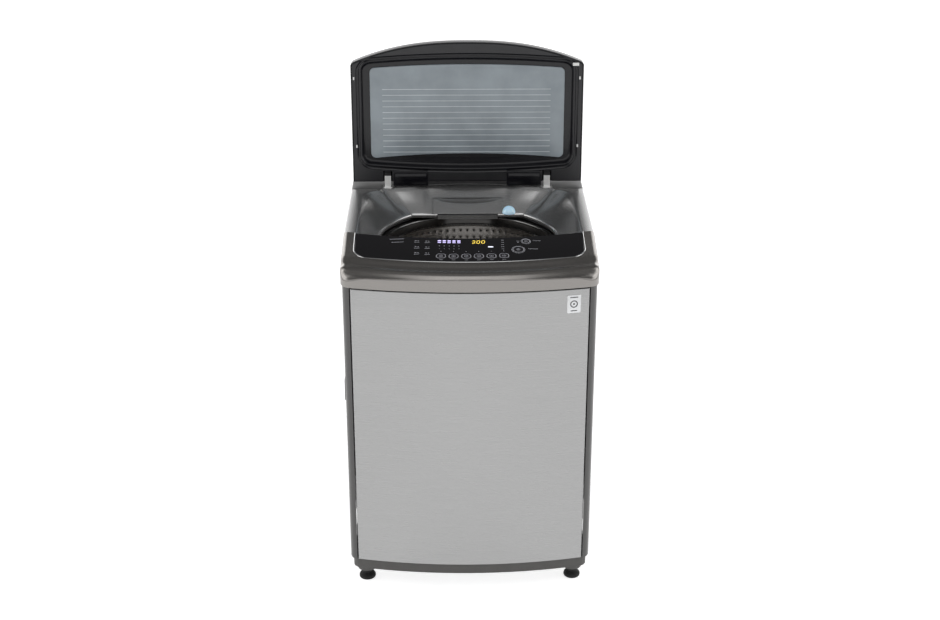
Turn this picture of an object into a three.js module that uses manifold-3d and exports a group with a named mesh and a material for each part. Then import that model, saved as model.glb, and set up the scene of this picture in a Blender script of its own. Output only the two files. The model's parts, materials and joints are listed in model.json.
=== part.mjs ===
// Top load washing machine, lid open. Millimetres, +Z up, front towards -Y.
// The origin is at the middle of the footprint, on the surface that the machine stands on.
import * as THREE from 'three';
import { mergeVertices } from 'three/addons/utils/BufferGeometryUtils.js';
import Module from 'manifold-3d';

const wasm = await Module();
wasm.setup();

// ---------------------------------------------------------------- driving dimensions
const CABINET_HALF_W = 312;
const CABINET_FRONT = -331;      // middle of the bowed front
const CABINET_REAR = 318;
const FRONT_BOW_R = 1317;        // plan radius of the bowed front
const CORNER_R = 30;             // front corners in plan
const REAR_CORNER_R = 16;
const COVER_GROW = 4;            // how far the top cover stands out past the cabinet
const COVER_REAR = 335;
const SHEET = 1.2;               // steel sheet
const PLASTIC = 3;               // moulded wall
const GAP = 0.3;                 // assembly gap between touching pieces

const FOOT_X = 272;
const FOOT_FRONT_Y = -244;
const FOOT_REAR_Y = 262;
const BASE_LOW = 56;
const BASE_TOP = 83.7;
const SHELL_LOW = 84;
const SHELL_TOP = 850;
const COVER_LOW = 851.5;
const DECK_Z = 923;
const PANEL_HALF_W = 291.5;      // stainless front panel
const PANEL_SLOT = 2.3;          // dark gap beside the front panel

const TUB_Y = 15;                // axis of tub, basket and pulsator
const OPENING_R = 229;
const OPENING_Z = 866;
const OPENING_CHORD_Y = 187;     // flat rear side of the tub opening
const TUB_R = 280;
const BASKET_R = 262;
const ROD_REACH = 240;           // suspension rods, distance from the tub axis along X and Y
const ROD_X = 275;

const FASCIA_BOW_R = 1000;       // plan radius of the control block's lines
const FASCIA_REAR = -166;
const FASCIA_TOP_Z = 930;
const GLASS_FRONT = -278;
const GLASS_FRONT_Z = 908;
const GLASS_HALF_W = 287;
const GLASS_T = 3;
const GLASS_SLOPE = (FASCIA_TOP_Z - GLASS_FRONT_Z) / (FASCIA_REAR - GLASS_FRONT);

const HINGE_Y = 252;
const HINGE_Z = 921;
const LID_LEAN = 2 * Math.PI / 180;   // open lid, past the vertical
const LID_HALF_W = 311;
const LID_SIDE_REACH = 343;      // hinge axis to the lid's front corners
const LID_BOW = 55.5;            // how far the middle of the front edge stands further out
const LID_BOW_POWER = 2.4;       // the front edge is a little fuller than a parabola
const LID_CORNER_R = 12;
const LID_FACE = 5;              // inner face above the hinge axis, lid closed
const LID_T = 39;
const RECESS = [283, 342, 13, 69, 14, 26];   // half width, front, bow, rear, bow, corner radius
const RECESS_DEPTH = 13;
const ARM_X = 217;
const PIN_R = 4;
const PIN_BORE_R = 4.06;

const DRAWER_HALF_W = 94;
const DRAWER_LOW_Z = 868;
const DRAWER_TOP_Z = 897;
const DECK_SPLIT = 237;          // joint between the top cover and the hinge deck

const TUB_LOW = 210;
const TUB_TOP = 820;
const DRUM_LOW = 236;
const DRUM_TOP = 815;
const SHAFT_R = 12;
const PUMP_X = -150;             // drain pump, sleeve and outlet
const PUMP_Y = 165;
const OUTLET_Z = 108;
const INLET_X = [180, 250];      // water inlet spigots
const INLET_Z = 887;
const INLET_BORE_R = 9;
const CORD_X = 240;
const CORD_Z = 150;

const ROUND = 32;                // segments round a large circle
const SMALL_ROUND = 14;
const BOW_STEPS = 14;            // facets along a bowed line

const SIDES = [['left', -1], ['right', 1]];
const CORNERS = [['front_left', -1, -1], ['front_right', 1, -1], ['rear_left', -1, 1], ['rear_right', 1, 1]];

// ---------------------------------------------------------------- materials
function material(colour, roughness, metalness) {
  return new THREE.MeshStandardMaterial({ color: new THREE.Color(colour), roughness, metalness });
}

const PAINT = {
  stainless: material('#b4b4b2', 0.34, 0.95),
  cabinet: material('#8b8984', 0.45, 0.6),
  silver: material('#c2c3c5', 0.38, 0.5),
  fascia: material('#6c6963', 0.35, 0.7),
  glass: material('#17161a', 0.06, 0.0),
  chrome: material('#e2e3e5', 0.08, 1.0),
  darkPlastic: material('#3a3a3b', 0.6, 0.0),
  lidShell: material('#1c1c20', 0.2, 0.2),
  lidPlate: material('#9ba2a8', 0.35, 0.1),
  whitePlastic: material('#e6e7e8', 0.45, 0.0),
  tub: material('#d3d6d8', 0.5, 0.0),
  steel: material('#a9a49c', 0.28, 1.0),
  rubber: material('#1a1a1a', 0.85, 0.0),
  greenBoard: material('#2d5a3c', 0.5, 0.0),
  lens: material('#bfe2f7', 0.1, 0.0),
  galvanised: material('#9a9c9f', 0.4, 0.9),
};

// ---------------------------------------------------------------- solids
function solid(geometry) {
  const bare = geometry.index ? geometry.toNonIndexed() : geometry.clone();
  bare.deleteAttribute('normal');
  bare.deleteAttribute('uv');
  const merged = mergeVertices(bare, 1e-4);
  const mesh = new wasm.Mesh({
    numProp: 3,
    vertProperties: new Float32Array(merged.attributes.position.array),
    triVerts: new Uint32Array(merged.index.array),
  });
  return new wasm.Manifold(mesh);
}

function join(first, ...others) {
  return others.reduce((sum, piece) => sum.add(piece), first);
}

function cut(first, ...others) {
  return others.reduce((rest, piece) => rest.subtract(piece), first);
}

function box(x0, x1, y0, y1, z0, z1) {
  const geometry = new THREE.BoxGeometry(x1 - x0, y1 - y0, z1 - z0);
  return solid(geometry.translate((x0 + x1) / 2, (y0 + y1) / 2, (z0 + z1) / 2));
}

// A box whose first two x values may come in either order.
function sideBox(xa, xb, y0, y1, z0, z1) {
  return box(Math.min(xa, xb), Math.max(xa, xb), y0, y1, z0, z1);
}

function cylinder(x, y, z0, z1, radius, segments = SMALL_ROUND, topRadius = radius) {
  const geometry = new THREE.CylinderGeometry(topRadius, radius, z1 - z0, segments);
  return solid(geometry.rotateX(Math.PI / 2).translate(x, y, (z0 + z1) / 2));
}

function rodAlongX(x0, x1, y, z, radius, segments = SMALL_ROUND) {
  const geometry = new THREE.CylinderGeometry(radius, radius, x1 - x0, segments);
  return solid(geometry.rotateZ(Math.PI / 2).translate((x0 + x1) / 2, y, z));
}

function rodAlongY(x, y0, y1, z, radius, segments = SMALL_ROUND) {
  const geometry = new THREE.CylinderGeometry(radius, radius, y1 - y0, segments);
  return solid(geometry.translate(x, (y0 + y1) / 2, z));
}

// A closed profile of [radius, z] points, turned about a vertical axis.
function turned(x, y, profile, segments = ROUND) {
  const points = profile.map(([radius, z]) => new THREE.Vector2(radius, z));
  const onAxis = profile[0][0] === 0;
  if (!onAxis) points.push(points[0].clone());
  const geometry = new THREE.LatheGeometry(points, segments);
  return solid(geometry.rotateX(Math.PI / 2).translate(x, y, 0));
}

function upright(shape, z0, z1, curveSegments = 8) {
  const geometry = new THREE.ExtrudeGeometry(shape, {
    depth: z1 - z0, bevelEnabled: false, curveSegments,
  });
  return solid(geometry.translate(0, 0, z0));
}

// A profile of [y, z] points, drawn counter-clockwise seen from +X, pulled from x0 to x1 in steps.
function alongX(profile, x0, x1, steps = 1) {
  const shape = new THREE.Shape(profile.map(([y, z]) => new THREE.Vector2(y, z)));
  const geometry = new THREE.ExtrudeGeometry(shape, {
    depth: x1 - x0, bevelEnabled: false, steps,
  });
  const basis = new THREE.Matrix4().makeBasis(
    new THREE.Vector3(0, 1, 0), new THREE.Vector3(0, 0, 1), new THREE.Vector3(1, 0, 0));
  return geometry.applyMatrix4(basis).translate(x0, 0, 0);
}

// Bends a geometry so that lines along X become arcs of the given plan radius.
function bowed(geometry, radius) {
  const position = geometry.attributes.position;
  for (let i = 0; i < position.count; i += 1) {
    position.setY(i, position.getY(i) + position.getX(i) ** 2 / (2 * radius));
  }
  return geometry;
}

// Rings of equal length, each joined to the next and the last to the first: a closed sheet.
function ringSkin(rings) {
  const count = rings[0].length;
  const positions = rings.flat(2);
  const indices = [];
  rings.forEach((ring, r) => {
    const next = (r + 1) % rings.length;
    for (let i = 0; i < count; i += 1) {
      const j = (i + 1) % count;
      const a = r * count + i;
      const b = r * count + j;
      const c = next * count + i;
      const d = next * count + j;
      indices.push(a, b, d, a, d, c);
    }
  });
  const geometry = new THREE.BufferGeometry();
  geometry.setAttribute('position', new THREE.Float32BufferAttribute(positions, 3));
  geometry.setIndex(indices);
  return solid(geometry);
}

const washer = new THREE.Group();
const lid = new THREE.Group();
lid.position.set(0, HINGE_Y, HINGE_Z);
lid.rotation.x = -(Math.PI / 2 + LID_LEAN);
washer.add(lid);

function add(name, body, paint, parent = washer) {
  const found = body.getMesh();
  const geometry = new THREE.BufferGeometry();
  geometry.setAttribute('position', new THREE.Float32BufferAttribute(found.vertProperties, 3));
  geometry.setIndex(Array.from(found.triVerts));
  geometry.computeVertexNormals();
  const mesh = new THREE.Mesh(geometry, paint);
  mesh.name = name;
  parent.add(mesh);
}

// ---------------------------------------------------------------- plan outlines
// The cabinet's outline from above, grown outwards: bowed front, rounded corners.
function plan(grow, rear = CABINET_REAR + grow) {
  const half = CABINET_HALF_W + grow;
  const radius = FRONT_BOW_R + grow;
  const corner = CORNER_R + grow;
  const centreY = CABINET_FRONT + FRONT_BOW_R;
  const cornerX = half - corner;
  const cornerY = centreY - Math.sqrt((radius - corner) ** 2 - cornerX ** 2);
  const bowAngle = Math.atan2(centreY - cornerY, cornerX);
  const rearR = REAR_CORNER_R;
  const shape = new THREE.Shape();
  shape.moveTo(-half, rear - rearR);
  shape.absarc(-cornerX, cornerY, corner, Math.PI, Math.PI + bowAngle, false);
  shape.absarc(0, centreY, radius, Math.PI + bowAngle, 2 * Math.PI - bowAngle, false);
  shape.absarc(cornerX, cornerY, corner, 2 * Math.PI - bowAngle, 2 * Math.PI, false);
  shape.absarc(half - rearR, rear - rearR, rearR, 0, Math.PI / 2, false);
  shape.absarc(-half + rearR, rear - rearR, rearR, Math.PI / 2, Math.PI, false);
  return shape;
}

function roundedBar(cx, cy, width, depth, radius) {
  const shape = new THREE.Shape();
  const x = width / 2 - radius;
  const y = depth / 2 - radius;
  shape.absarc(cx + x, cy + y, radius, 0, Math.PI / 2, false);
  shape.absarc(cx - x, cy + y, radius, Math.PI / 2, Math.PI, false);
  shape.absarc(cx - x, cy - y, radius, Math.PI, 1.5 * Math.PI, false);
  shape.absarc(cx + x, cy - y, radius, 1.5 * Math.PI, 2 * Math.PI, false);
  return shape;
}

// ---------------------------------------------------------------- cabinet
function rodPlace(sx, sy) {
  return [sx * ROD_X, TUB_Y + sy * ROD_REACH];
}

function cabinetShell() {
  const edge = PANEL_HALF_W + PANEL_SLOT;
  const rear = [CABINET_REAR - 10, CABINET_REAR + 10];
  const wrap = cut(
    upright(plan(0), SHELL_LOW, SHELL_TOP),
    upright(plan(-SHEET), SHELL_LOW - 1, SHELL_TOP + 1),
    box(-edge, edge, -400, -285, SHELL_LOW - 1, SHELL_TOP + 1),
    box(-210, 210, ...rear, 200, 640),
    rodAlongY(PUMP_X, ...rear, OUTLET_Z, 17),
    rodAlongY(CORD_X, ...rear, CORD_Z, 10),
  );
  const flanges = SIDES.map(([, s]) => sideBox(
    s * edge, s * (edge + SHEET), -297.5, -280, SHELL_LOW, SHELL_TOP));
  const hangers = CORNERS.map(([, sx, sy]) => {
    const [x, y] = rodPlace(sx, sy);
    const plate = sideBox(sx * 255, sx * (CABINET_HALF_W - 1), y - 24, y + 24, 836, 839);
    return cut(plate, cylinder(x, y, 830, 845, 7));
  });
  return join(wrap, ...flanges, ...hangers);
}

function frontPanel() {
  const low = SHELL_LOW + 1.5;
  const high = SHELL_TOP - 1.5;
  const face = cut(upright(plan(0), low, high), upright(plan(-SHEET), low - 1, high + 1))
    .intersect(box(-PANEL_HALF_W, PANEL_HALF_W, -340, -290, low, high));
  const flanges = SIDES.map(([, s]) => sideBox(
    s * PANEL_HALF_W, s * (PANEL_HALF_W - SHEET), -298.3, -282, low, high));
  const stiffener = cut(
    upright(plan(-SHEET / 2), low, low + SHEET), upright(plan(-18), low - 1, low + 3),
  ).intersect(box(-PANEL_HALF_W, PANEL_HALF_W, -340, -290, low, high));
  return join(face, ...flanges, stiffener);
}

function rearCover() {
  const plate = box(-222, 222, CABINET_REAR + GAP, CABINET_REAR + 2.3, 188, 652);
  const bulge = box(-196, 196, CABINET_REAR + 1, CABINET_REAR + 7, 214, 626);
  const hollow = box(-194, 194, CABINET_REAR - 1, CABINET_REAR + 5, 216, 624);
  const slots = Array.from({ length: 6 }, (_, i) => box(
    -120, 120, CABINET_REAR, CABINET_REAR + 9, 520 + i * 14, 525 + i * 14));
  return cut(join(plate, bulge), hollow, ...slots);
}

function footPlace(sx, sy) {
  return [sx * FOOT_X, sy < 0 ? FOOT_FRONT_Y : FOOT_REAR_Y];
}

function baseFrame() {
  const skirt = cut(
    upright(plan(-7), BASE_LOW, BASE_TOP),
    upright(plan(-11), BASE_LOW - 1, BASE_TOP + 1),
  );
  const inside = upright(plan(-9), BASE_TOP - 4, BASE_TOP);
  const gussets = CORNERS.map(([, sx, sy]) => {
    const [x, y] = footPlace(sx, sy);
    const y0 = sy < 0 ? -340 : y - 70;
    const y1 = sy < 0 ? y + 70 : 340;
    const plate = sideBox(sx * 200, sx * 320, y0, y1, BASE_TOP - 4, BASE_TOP);
    const boss = cylinder(x, y, 30, BASE_TOP - 2, 25, 16, 33);
    return join(plate.intersect(inside), boss);
  });
  const pumpShelf = box(-230, -70, 90, 312, BASE_TOP - 4, BASE_TOP).intersect(inside);
  const bores = CORNERS.map(([, sx, sy]) => cylinder(...footPlace(sx, sy), 20, 90, 5.6));
  return cut(join(skirt, ...gussets, pumpShelf), ...bores);
}

function foot(sx, sy) {
  const [x, y] = footPlace(sx, sy);
  const profile = [[0, 0], [21, 0], [22, 3], [21, 10], [12, 15], [12, 22], [5, 22], [5, 76], [0, 76]];
  return turned(x, y, profile, 16);
}

function suspensionRod(sx, sy) {
  const [x, y] = rodPlace(sx, sy);
  const plate = [[0, 229], [4, 229], [4, 232], [12.5, 232], [12.5, 238], [4, 238]];
  const head = [[4, 839.3], [11, 839.3], [11, 842], [7, 847], [0, 849]];
  return turned(x, y, [...plate, ...head], 10);
}

// ---------------------------------------------------------------- top cover and bowl
// Half of the bowl's rim at deck height, from the front middle round to the rear middle.
const RIM = [[0, -234], [205, -234], [240, -226], [266, -203], [282, -165], [282, 172], [277, 196],
  [263, 214], [240, 226], [231, 240], [190, 246], [150, 252], [107, 266], [60, 273], [0, 275]];

function crossing(outline, angle) {
  const dx = Math.cos(angle);
  const dy = Math.sin(angle);
  let best = 0;
  outline.forEach(([ax, ay], i) => {
    const [bx, by] = outline[(i + 1) % outline.length];
    const ex = bx - ax;
    const ey = by - ay;
    const det = dx * ey - dy * ex;
    if (Math.abs(det) < 1e-9) return;
    const t = (ax * ey - (ay - TUB_Y) * ex) / det;
    const u = (ax * dy - (ay - TUB_Y) * dx) / det;
    if (t > 0 && u >= -1e-9 && u <= 1 + 1e-9) best = Math.max(best, t);
  });
  return [dx * best, TUB_Y + dy * best];
}

function rimOutline() {
  const right = RIM.slice(1, -1);
  const left = right.map(([x, y]) => [-x, y]).reverse();
  return [RIM[0], ...right, RIM[RIM.length - 1], ...left];
}

// Drops the rim where it runs under the control block.
function rimZ(y) {
  const drop = THREE.MathUtils.smoothstep(-y, 112, 121);
  return DECK_Z - 27 * drop;
}

function bowlRings() {
  const outline = rimOutline();
  const angles = Array.from({ length: 64 }, (_, i) => (i / 64) * 2 * Math.PI);
  const rim = angles.map((angle) => crossing(outline, angle));
  const opening = angles.map((angle) => {
    const y = TUB_Y + OPENING_R * Math.sin(angle);
    const x = OPENING_R * Math.cos(angle);
    if (y <= OPENING_CHORD_Y) return [x, y];
    return [x * (OPENING_CHORD_Y - TUB_Y) / (y - TUB_Y), OPENING_CHORD_Y];
  });
  const level = (t, lift) => angles.map((_, i) => {
    const [rx, ry] = rim[i];
    const [ox, oy] = opening[i];
    const top = rimZ(ry);
    return [rx + (ox - rx) * t, ry + (oy - ry) * t, top + (OPENING_Z - top) * t + lift];
  });
  const lip = (out, z) => angles.map((_, i) => {
    const [ox, oy] = opening[i];
    const length = Math.hypot(ox, oy - TUB_Y);
    return [ox * (1 + out / length), TUB_Y + (oy - TUB_Y) * (1 + out / length), z];
  });
  return [level(0, 0), level(0.5, 0), level(1, 0), lip(0, OPENING_Z - 8), lip(3, OPENING_Z - 8),
    lip(3, OPENING_Z - 3.5), level(0.5, -3.6), level(0, -3.6)];
}

function rimPrism(grow, z0, z1) {
  const shape = new THREE.Shape(rimOutline().map(([x, y]) => {
    const length = Math.hypot(x, y - TUB_Y);
    const k = 1 + grow / length;
    return new THREE.Vector2(x * k, TUB_Y + (y - TUB_Y) * k);
  }));
  return upright(shape, z0, z1);
}

function behindFascia(gap, z0, z1) {
  const profile = [[FASCIA_REAR + gap, z0], [400, z0], [400, z1], [FASCIA_REAR + gap, z1]];
  return solid(bowed(alongX(profile, -340, 340, BOW_STEPS), FASCIA_BOW_R));
}

function coverTray() {
  return cut(
    upright(plan(COVER_GROW, COVER_REAR), COVER_LOW, DECK_Z),
    upright(plan(COVER_GROW - PLASTIC, COVER_REAR - PLASTIC), COVER_LOW - 1, DECK_Z - PLASTIC),
  );
}

// The sloping rear wall of the bowl, as the y at a height.
function rearWallY(z) {
  const t = (DECK_Z - z) / (DECK_Z - OPENING_Z);
  return 275 + (OPENING_CHORD_Y - 275) * t;
}

function drawerWindow(margin) {
  return box(-DRAWER_HALF_W - margin, DRAWER_HALF_W + margin, 150, 320,
    DRAWER_LOW_Z - margin, DRAWER_TOP_Z + margin);
}

function topCover() {
  const deck = cut(coverTray(), rimPrism(-0.5, 800, DECK_Z + 5))
    .intersect(behindFascia(0.8, 800, DECK_Z + 5));
  const front = deck.intersect(join(
    box(-330, 330, -400, DECK_SPLIT, 800, 950),
    rimPrism(6, DECK_Z - PLASTIC - 0.4, DECK_Z + 1)));
  const spoutNotch = box(-82, 82, 150, 260, 840, DRAWER_LOW_Z);
  const lampSeat = lampBall(18.6, OPENING_Z + 1.6);
  return cut(join(front, ringSkin(bowlRings())), drawerWindow(0.9), spoutNotch, lampSeat,
    ...armSlots());
}

function armSlots() {
  return SIDES.map(([, s]) => box(s * ARM_X - 16, s * ARM_X + 16, 243.5, 266, 880, 930));
}

function hingeDeck() {
  const rear = coverTray().intersect(box(-330, 330, DECK_SPLIT + 1.6, 400, 800, 950));
  const valveBay = box(138, 292, 306, 340, 866, 908);
  return cut(rear, rimPrism(6.6, 800, DECK_Z + 5), ...armSlots(), valveBay);
}

function waterInletValve() {
  const body = box(142, 288, 270, 309, 868, 905);
  const spigots = INLET_X.map((x) => rodAlongY(x, 308, COVER_REAR - 1, INLET_Z, 13.2));
  const bores = INLET_X.map((x) => rodAlongY(x, 280, COVER_REAR + 1, INLET_Z, INLET_BORE_R));
  return cut(join(body, ...spigots), ...bores);
}

function hingeBracket(s) {
  const x = s * ARM_X;
  const low = 896;
  const ears = [-14.6, 11.4].map((dx) => cut(
    box(x + dx, x + dx + 3.2, HINGE_Y - 7, HINGE_Y + 9, low, 925.4),
    rodAlongX(x + dx - 1, x + dx + 5, HINGE_Y, HINGE_Z, PIN_BORE_R, 32)));
  const seat = box(x - 14.6, x + 14.6, HINGE_Y - 7, HINGE_Y + 9, low, low + 3);
  const wings = [-26, 14.3].map((dx) => box(
    x + dx, x + dx + 11.7, HINGE_Y - 4, HINGE_Y + 9, 915, 919.2));
  return join(seat, ...ears, ...wings);
}

// A ball lens let into the sloping wall, cut off level just above the tub opening.
function lampBall(radius, low) {
  const ball = solid(new THREE.SphereGeometry(radius, 16, 10).translate(112, 197, OPENING_Z + 3));
  return ball.intersect(box(80, 140, 170, 230, low, 900));
}

function tubLampLens() {
  return lampBall(18, OPENING_Z + 2);
}

// ---------------------------------------------------------------- control block
// Height of the control block's top line; offset is measured from the middle of the machine.
const FASCIA_TOP = [[-372, 876], [-342, 881], [-335, 885], [-330, 892], [-324, 896], [-318, 898],
  [-309, 896.5], [-298, 899], [-287, 904.5]];

function fasciaBlock() {
  const outer = [[FASCIA_REAR, 800], [FASCIA_REAR, FASCIA_TOP_Z], [GLASS_FRONT, GLASS_FRONT_Z],
    ...FASCIA_TOP.slice().reverse(), [-372, 800]];
  return solid(bowed(alongX(outer.reverse(), -340, 340, BOW_STEPS), FASCIA_BOW_R));
}

function fasciaHollow() {
  const drop = PLASTIC + 1;
  const front = FASCIA_TOP.slice().reverse().map(([y, z]) => [y, z - drop]);
  const inner = [[FASCIA_REAR - PLASTIC, 780],
    [FASCIA_REAR - PLASTIC, FASCIA_TOP_Z - drop - GLASS_T - 2],
    [GLASS_FRONT, GLASS_FRONT_Z - drop - GLASS_T], ...front, [-372, 780]];
  return solid(bowed(alongX(inner.reverse(), -340, 340, BOW_STEPS), FASCIA_BOW_R))
    .intersect(upright(plan(COVER_GROW - PLASTIC), 700, 1000));
}

function glassOutline(grow) {
  const shape = new THREE.Shape();
  const half = GLASS_HALF_W + grow;
  const front = GLASS_FRONT - grow;
  const corner = 34;
  shape.moveTo(half, FASCIA_REAR + 20);
  shape.lineTo(-half, FASCIA_REAR + 20);
  shape.absarc(-half + corner, front + corner, corner, Math.PI, 1.5 * Math.PI, false);
  for (let i = 1; i < BOW_STEPS; i += 1) {
    shape.lineTo(-half + corner + (i / BOW_STEPS) * 2 * (half - corner), front);
  }
  shape.absarc(half - corner, front + corner, corner, 1.5 * Math.PI, 2 * Math.PI, false);
  return shape;
}

function glassZ(y) {
  return GLASS_FRONT_Z + (y - GLASS_FRONT) * GLASS_SLOPE;
}

// A slab parallel to the glass, between two depths below the control block's top line.
function glassSlab(above, below, grow, rear = FASCIA_REAR) {
  const front = GLASS_FRONT - 12;
  const band = [[front, glassZ(front) + above], [front, glassZ(front) - below],
    [rear, glassZ(rear) - below], [rear, glassZ(rear) + above]];
  const slab = solid(bowed(alongX(band, -330, 330, BOW_STEPS), FASCIA_BOW_R));
  const outline = bowed(new THREE.ExtrudeGeometry(glassOutline(grow), {
    depth: 120, bevelEnabled: false, curveSegments: 5,
  }), FASCIA_BOW_R);
  return slab.intersect(solid(outline.translate(0, 0, 850)));
}

const KEY_Y = -251;
const KEYS = [-70, -39.2, -8.4, 22.4, 53.2, 84].map((x, i) => ({
  name: `key_${i + 1}`, x, y: KEY_Y, width: 25, depth: 22, radius: 8,
}));
const ROUND_BUTTONS = [
  { name: 'start_button', x: 120, y: -226, width: 30, depth: 30, radius: 14.9 },
  { name: 'power_button', x: 140, y: -190, width: 22, depth: 22, radius: 10.9 },
];
const BUTTONS = [...KEYS, ...ROUND_BUTTONS];

// A button is a prism square to the glass, at a place in the control block's bowed frame.
function buttonPrism(button, grow, low, high) {
  const width = button.width + 2 * grow;
  const depth = button.depth + 2 * grow;
  const shape = roundedBar(0, 0, width, depth, button.radius + grow);
  const geometry = new THREE.ExtrudeGeometry(shape, {
    depth: high - low, bevelEnabled: false, curveSegments: 3,
  });
  const y = button.y + button.x ** 2 / (2 * FASCIA_BOW_R);
  return solid(geometry.translate(0, 0, low).rotateX(Math.atan(GLASS_SLOPE))
    .translate(button.x, y, glassZ(button.y)));
}

function controlGlass() {
  const slab = glassSlab(0, GLASS_T, -2.6, FASCIA_REAR - 2.2);
  return cut(slab, ...BUTTONS.map((button) => buttonPrism(button, 0.5, -20, 20)));
}

function chromeTrim() {
  const outer = glassSlab(0.5, GLASS_T, -0.3, FASCIA_REAR - 1);
  return cut(outer, glassSlab(8, 12, -2.3, FASCIA_REAR + 30));
}

function controlFascia() {
  const block = fasciaBlock().intersect(upright(plan(COVER_GROW), COVER_LOW, 960));
  const underBowl = box(-289, 289, -236, 0, 700, 905);
  const seats = [box(-92, 106, -268, -228, 880, 940), box(98, 158, -240, -160, 880, 940)];
  return cut(block, fasciaHollow(), underBowl,
    glassSlab(30, GLASS_T + GAP, 0, FASCIA_REAR + 40), ...seats);
}

// ---------------------------------------------------------------- dispenser
function dispenserDrawer() {
  const slope = [[rearWallY(DRAWER_LOW_Z), DRAWER_LOW_Z], [308, DRAWER_LOW_Z],
    [308, DRAWER_TOP_Z], [rearWallY(DRAWER_TOP_Z), DRAWER_TOP_Z]];
  const body = solid(alongX(slope, -DRAWER_HALF_W, DRAWER_HALF_W));
  const floor = DRAWER_LOW_Z + 2.5;
  const lip = rearWallY(DRAWER_TOP_Z) + 5;
  const wellSide = [[rearWallY(floor) + 32, floor], [305, floor], [305, 940], [lip, 940],
    [lip, DRAWER_TOP_Z - 8]];
  const well = (x0, x1) => solid(alongX(wellSide, x0, x1));
  const grip = new THREE.SphereGeometry(1, 16, 8).scale(75, 12, 9)
    .translate(0, rearWallY(DRAWER_TOP_Z) - 3, DRAWER_TOP_Z + 1.5);
  return cut(body, well(-91, -2), well(2, 91), solid(grip));
}

function dispenserHousing() {
  const low = DRAWER_LOW_Z - 5;
  const high = DRAWER_TOP_Z + 5;
  const outer = solid(alongX([[252, low], [326, low], [326, high], [262, high]],
    -DRAWER_HALF_W - 6, DRAWER_HALF_W + 6));
  const half = DRAWER_HALF_W + 1;
  const bay = box(-half, half, 100, 313, DRAWER_LOW_Z - 1, DRAWER_TOP_Z + 1);
  const floor = box(-81, 81, 193, 254, low - 2, DRAWER_LOW_Z - 2.2);
  const spout = box(-81, 81, 182, 195, low - 8, DRAWER_LOW_Z - 2.2);
  return join(cut(outer, bay), floor, spout);
}

// ---------------------------------------------------------------- lid, drawn closed about its hinge axis
function lidOutline(inset) {
  const half = LID_HALF_W - inset;
  const reach = LID_SIDE_REACH - inset;
  const corner = LID_CORNER_R - inset;
  const turn = Math.PI / 2 - Math.atan(LID_BOW_POWER * LID_BOW / LID_HALF_W);
  const cornerY = -reach + corner * Math.tan(turn / 2);
  const rear = -17 - inset * 0.4;
  const shape = new THREE.Shape();
  shape.moveTo(half, rear);
  shape.lineTo(-half, rear);
  shape.absarc(-half + corner, cornerY, corner, Math.PI, Math.PI + turn, false);
  const endX = half - corner + corner * Math.cos(turn);
  const steps = 16;
  for (let i = 1; i < steps; i += 1) {
    const x = -endX + (i / steps) * 2 * endX;
    const rise = LID_BOW * (1 - Math.abs(x / half) ** LID_BOW_POWER);
    shape.lineTo(x, -reach - rise);
  }
  shape.absarc(half - corner, cornerY, corner, 2 * Math.PI - turn, 2 * Math.PI, false);
  return shape;
}

function armNotches(y0, z0, z1) {
  return SIDES.map(([, s]) => box(s * ARM_X - 12, s * ARM_X + 12, y0, 0, z0, z1));
}

function lidOuterShell() {
  const edge = 9;
  const rounded = new THREE.ExtrudeGeometry(lidOutline(0), {
    depth: LID_T - edge, bevelEnabled: true, bevelThickness: edge, bevelSize: edge,
    bevelOffset: -edge, bevelSegments: 3, curveSegments: 6,
  });
  const body = solid(rounded.translate(0, 0, LID_FACE))
    .intersect(box(-320, 320, -420, 20, LID_FACE, LID_FACE + LID_T));
  const hollow = upright(lidOutline(PLASTIC), LID_FACE - 1, LID_FACE + LID_T - PLASTIC - 1, 6);
  return cut(body, hollow, ...armNotches(-30, 0, LID_FACE + 6));
}

// The recess in the inner face: straight sides, bowed front, rear edge bowed towards the hinge.
function recessOutline(half, front, frontBow, rear, rearBow, corner) {
  const shape = new THREE.Shape();
  const steps = 10;
  const lineAt = (base, bow) => (x) => base + bow * (x / half) ** 2;
  const frontY = lineAt(-front - frontBow, frontBow);
  const rearY = lineAt(-rear + rearBow, -rearBow);
  shape.absarc(half - corner, rearY(half - corner) - corner, corner, 0, Math.PI / 2, false);
  for (let i = 1; i < steps; i += 1) {
    const x = (half - corner) * (1 - 2 * i / steps);
    shape.lineTo(x, rearY(x));
  }
  shape.absarc(-half + corner, rearY(half - corner) - corner, corner, Math.PI / 2, Math.PI, false);
  shape.absarc(-half + corner, frontY(half - corner) + corner, corner, Math.PI, 1.5 * Math.PI, false);
  for (let i = 1; i < steps; i += 1) {
    const x = -(half - corner) * (1 - 2 * i / steps);
    shape.lineTo(x, frontY(x));
  }
  shape.absarc(half - corner, frontY(half - corner) + corner, corner, 1.5 * Math.PI, 2 * Math.PI, false);
  return shape;
}

function lidInnerFrame() {
  const plate = upright(lidOutline(PLASTIC + GAP), LID_FACE + 0.5, LID_FACE + 4, 6);
  const [half, front, frontBow, rear, rearBow, corner] = RECESS;
  const wall = PLASTIC - 0.5;
  const outline = recessOutline(
    half + wall, front + wall, frontBow, rear - wall, rearBow, corner + wall);
  const tray = upright(outline, LID_FACE + 0.5, LID_FACE + RECESS_DEPTH + wall);
  const hollow = upright(recessOutline(...RECESS), LID_FACE - 1, LID_FACE + RECESS_DEPTH);
  return cut(join(plate, tray), hollow, ...armNotches(-47, LID_FACE - 1, LID_FACE + 5));
}

function lidInnerPlate() {
  const shape = recessOutline(261, 328, 10, 80, -13, 14);
  return upright(shape, LID_FACE + RECESS_DEPTH - 4.5, LID_FACE + RECESS_DEPTH - GAP);
}

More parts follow.
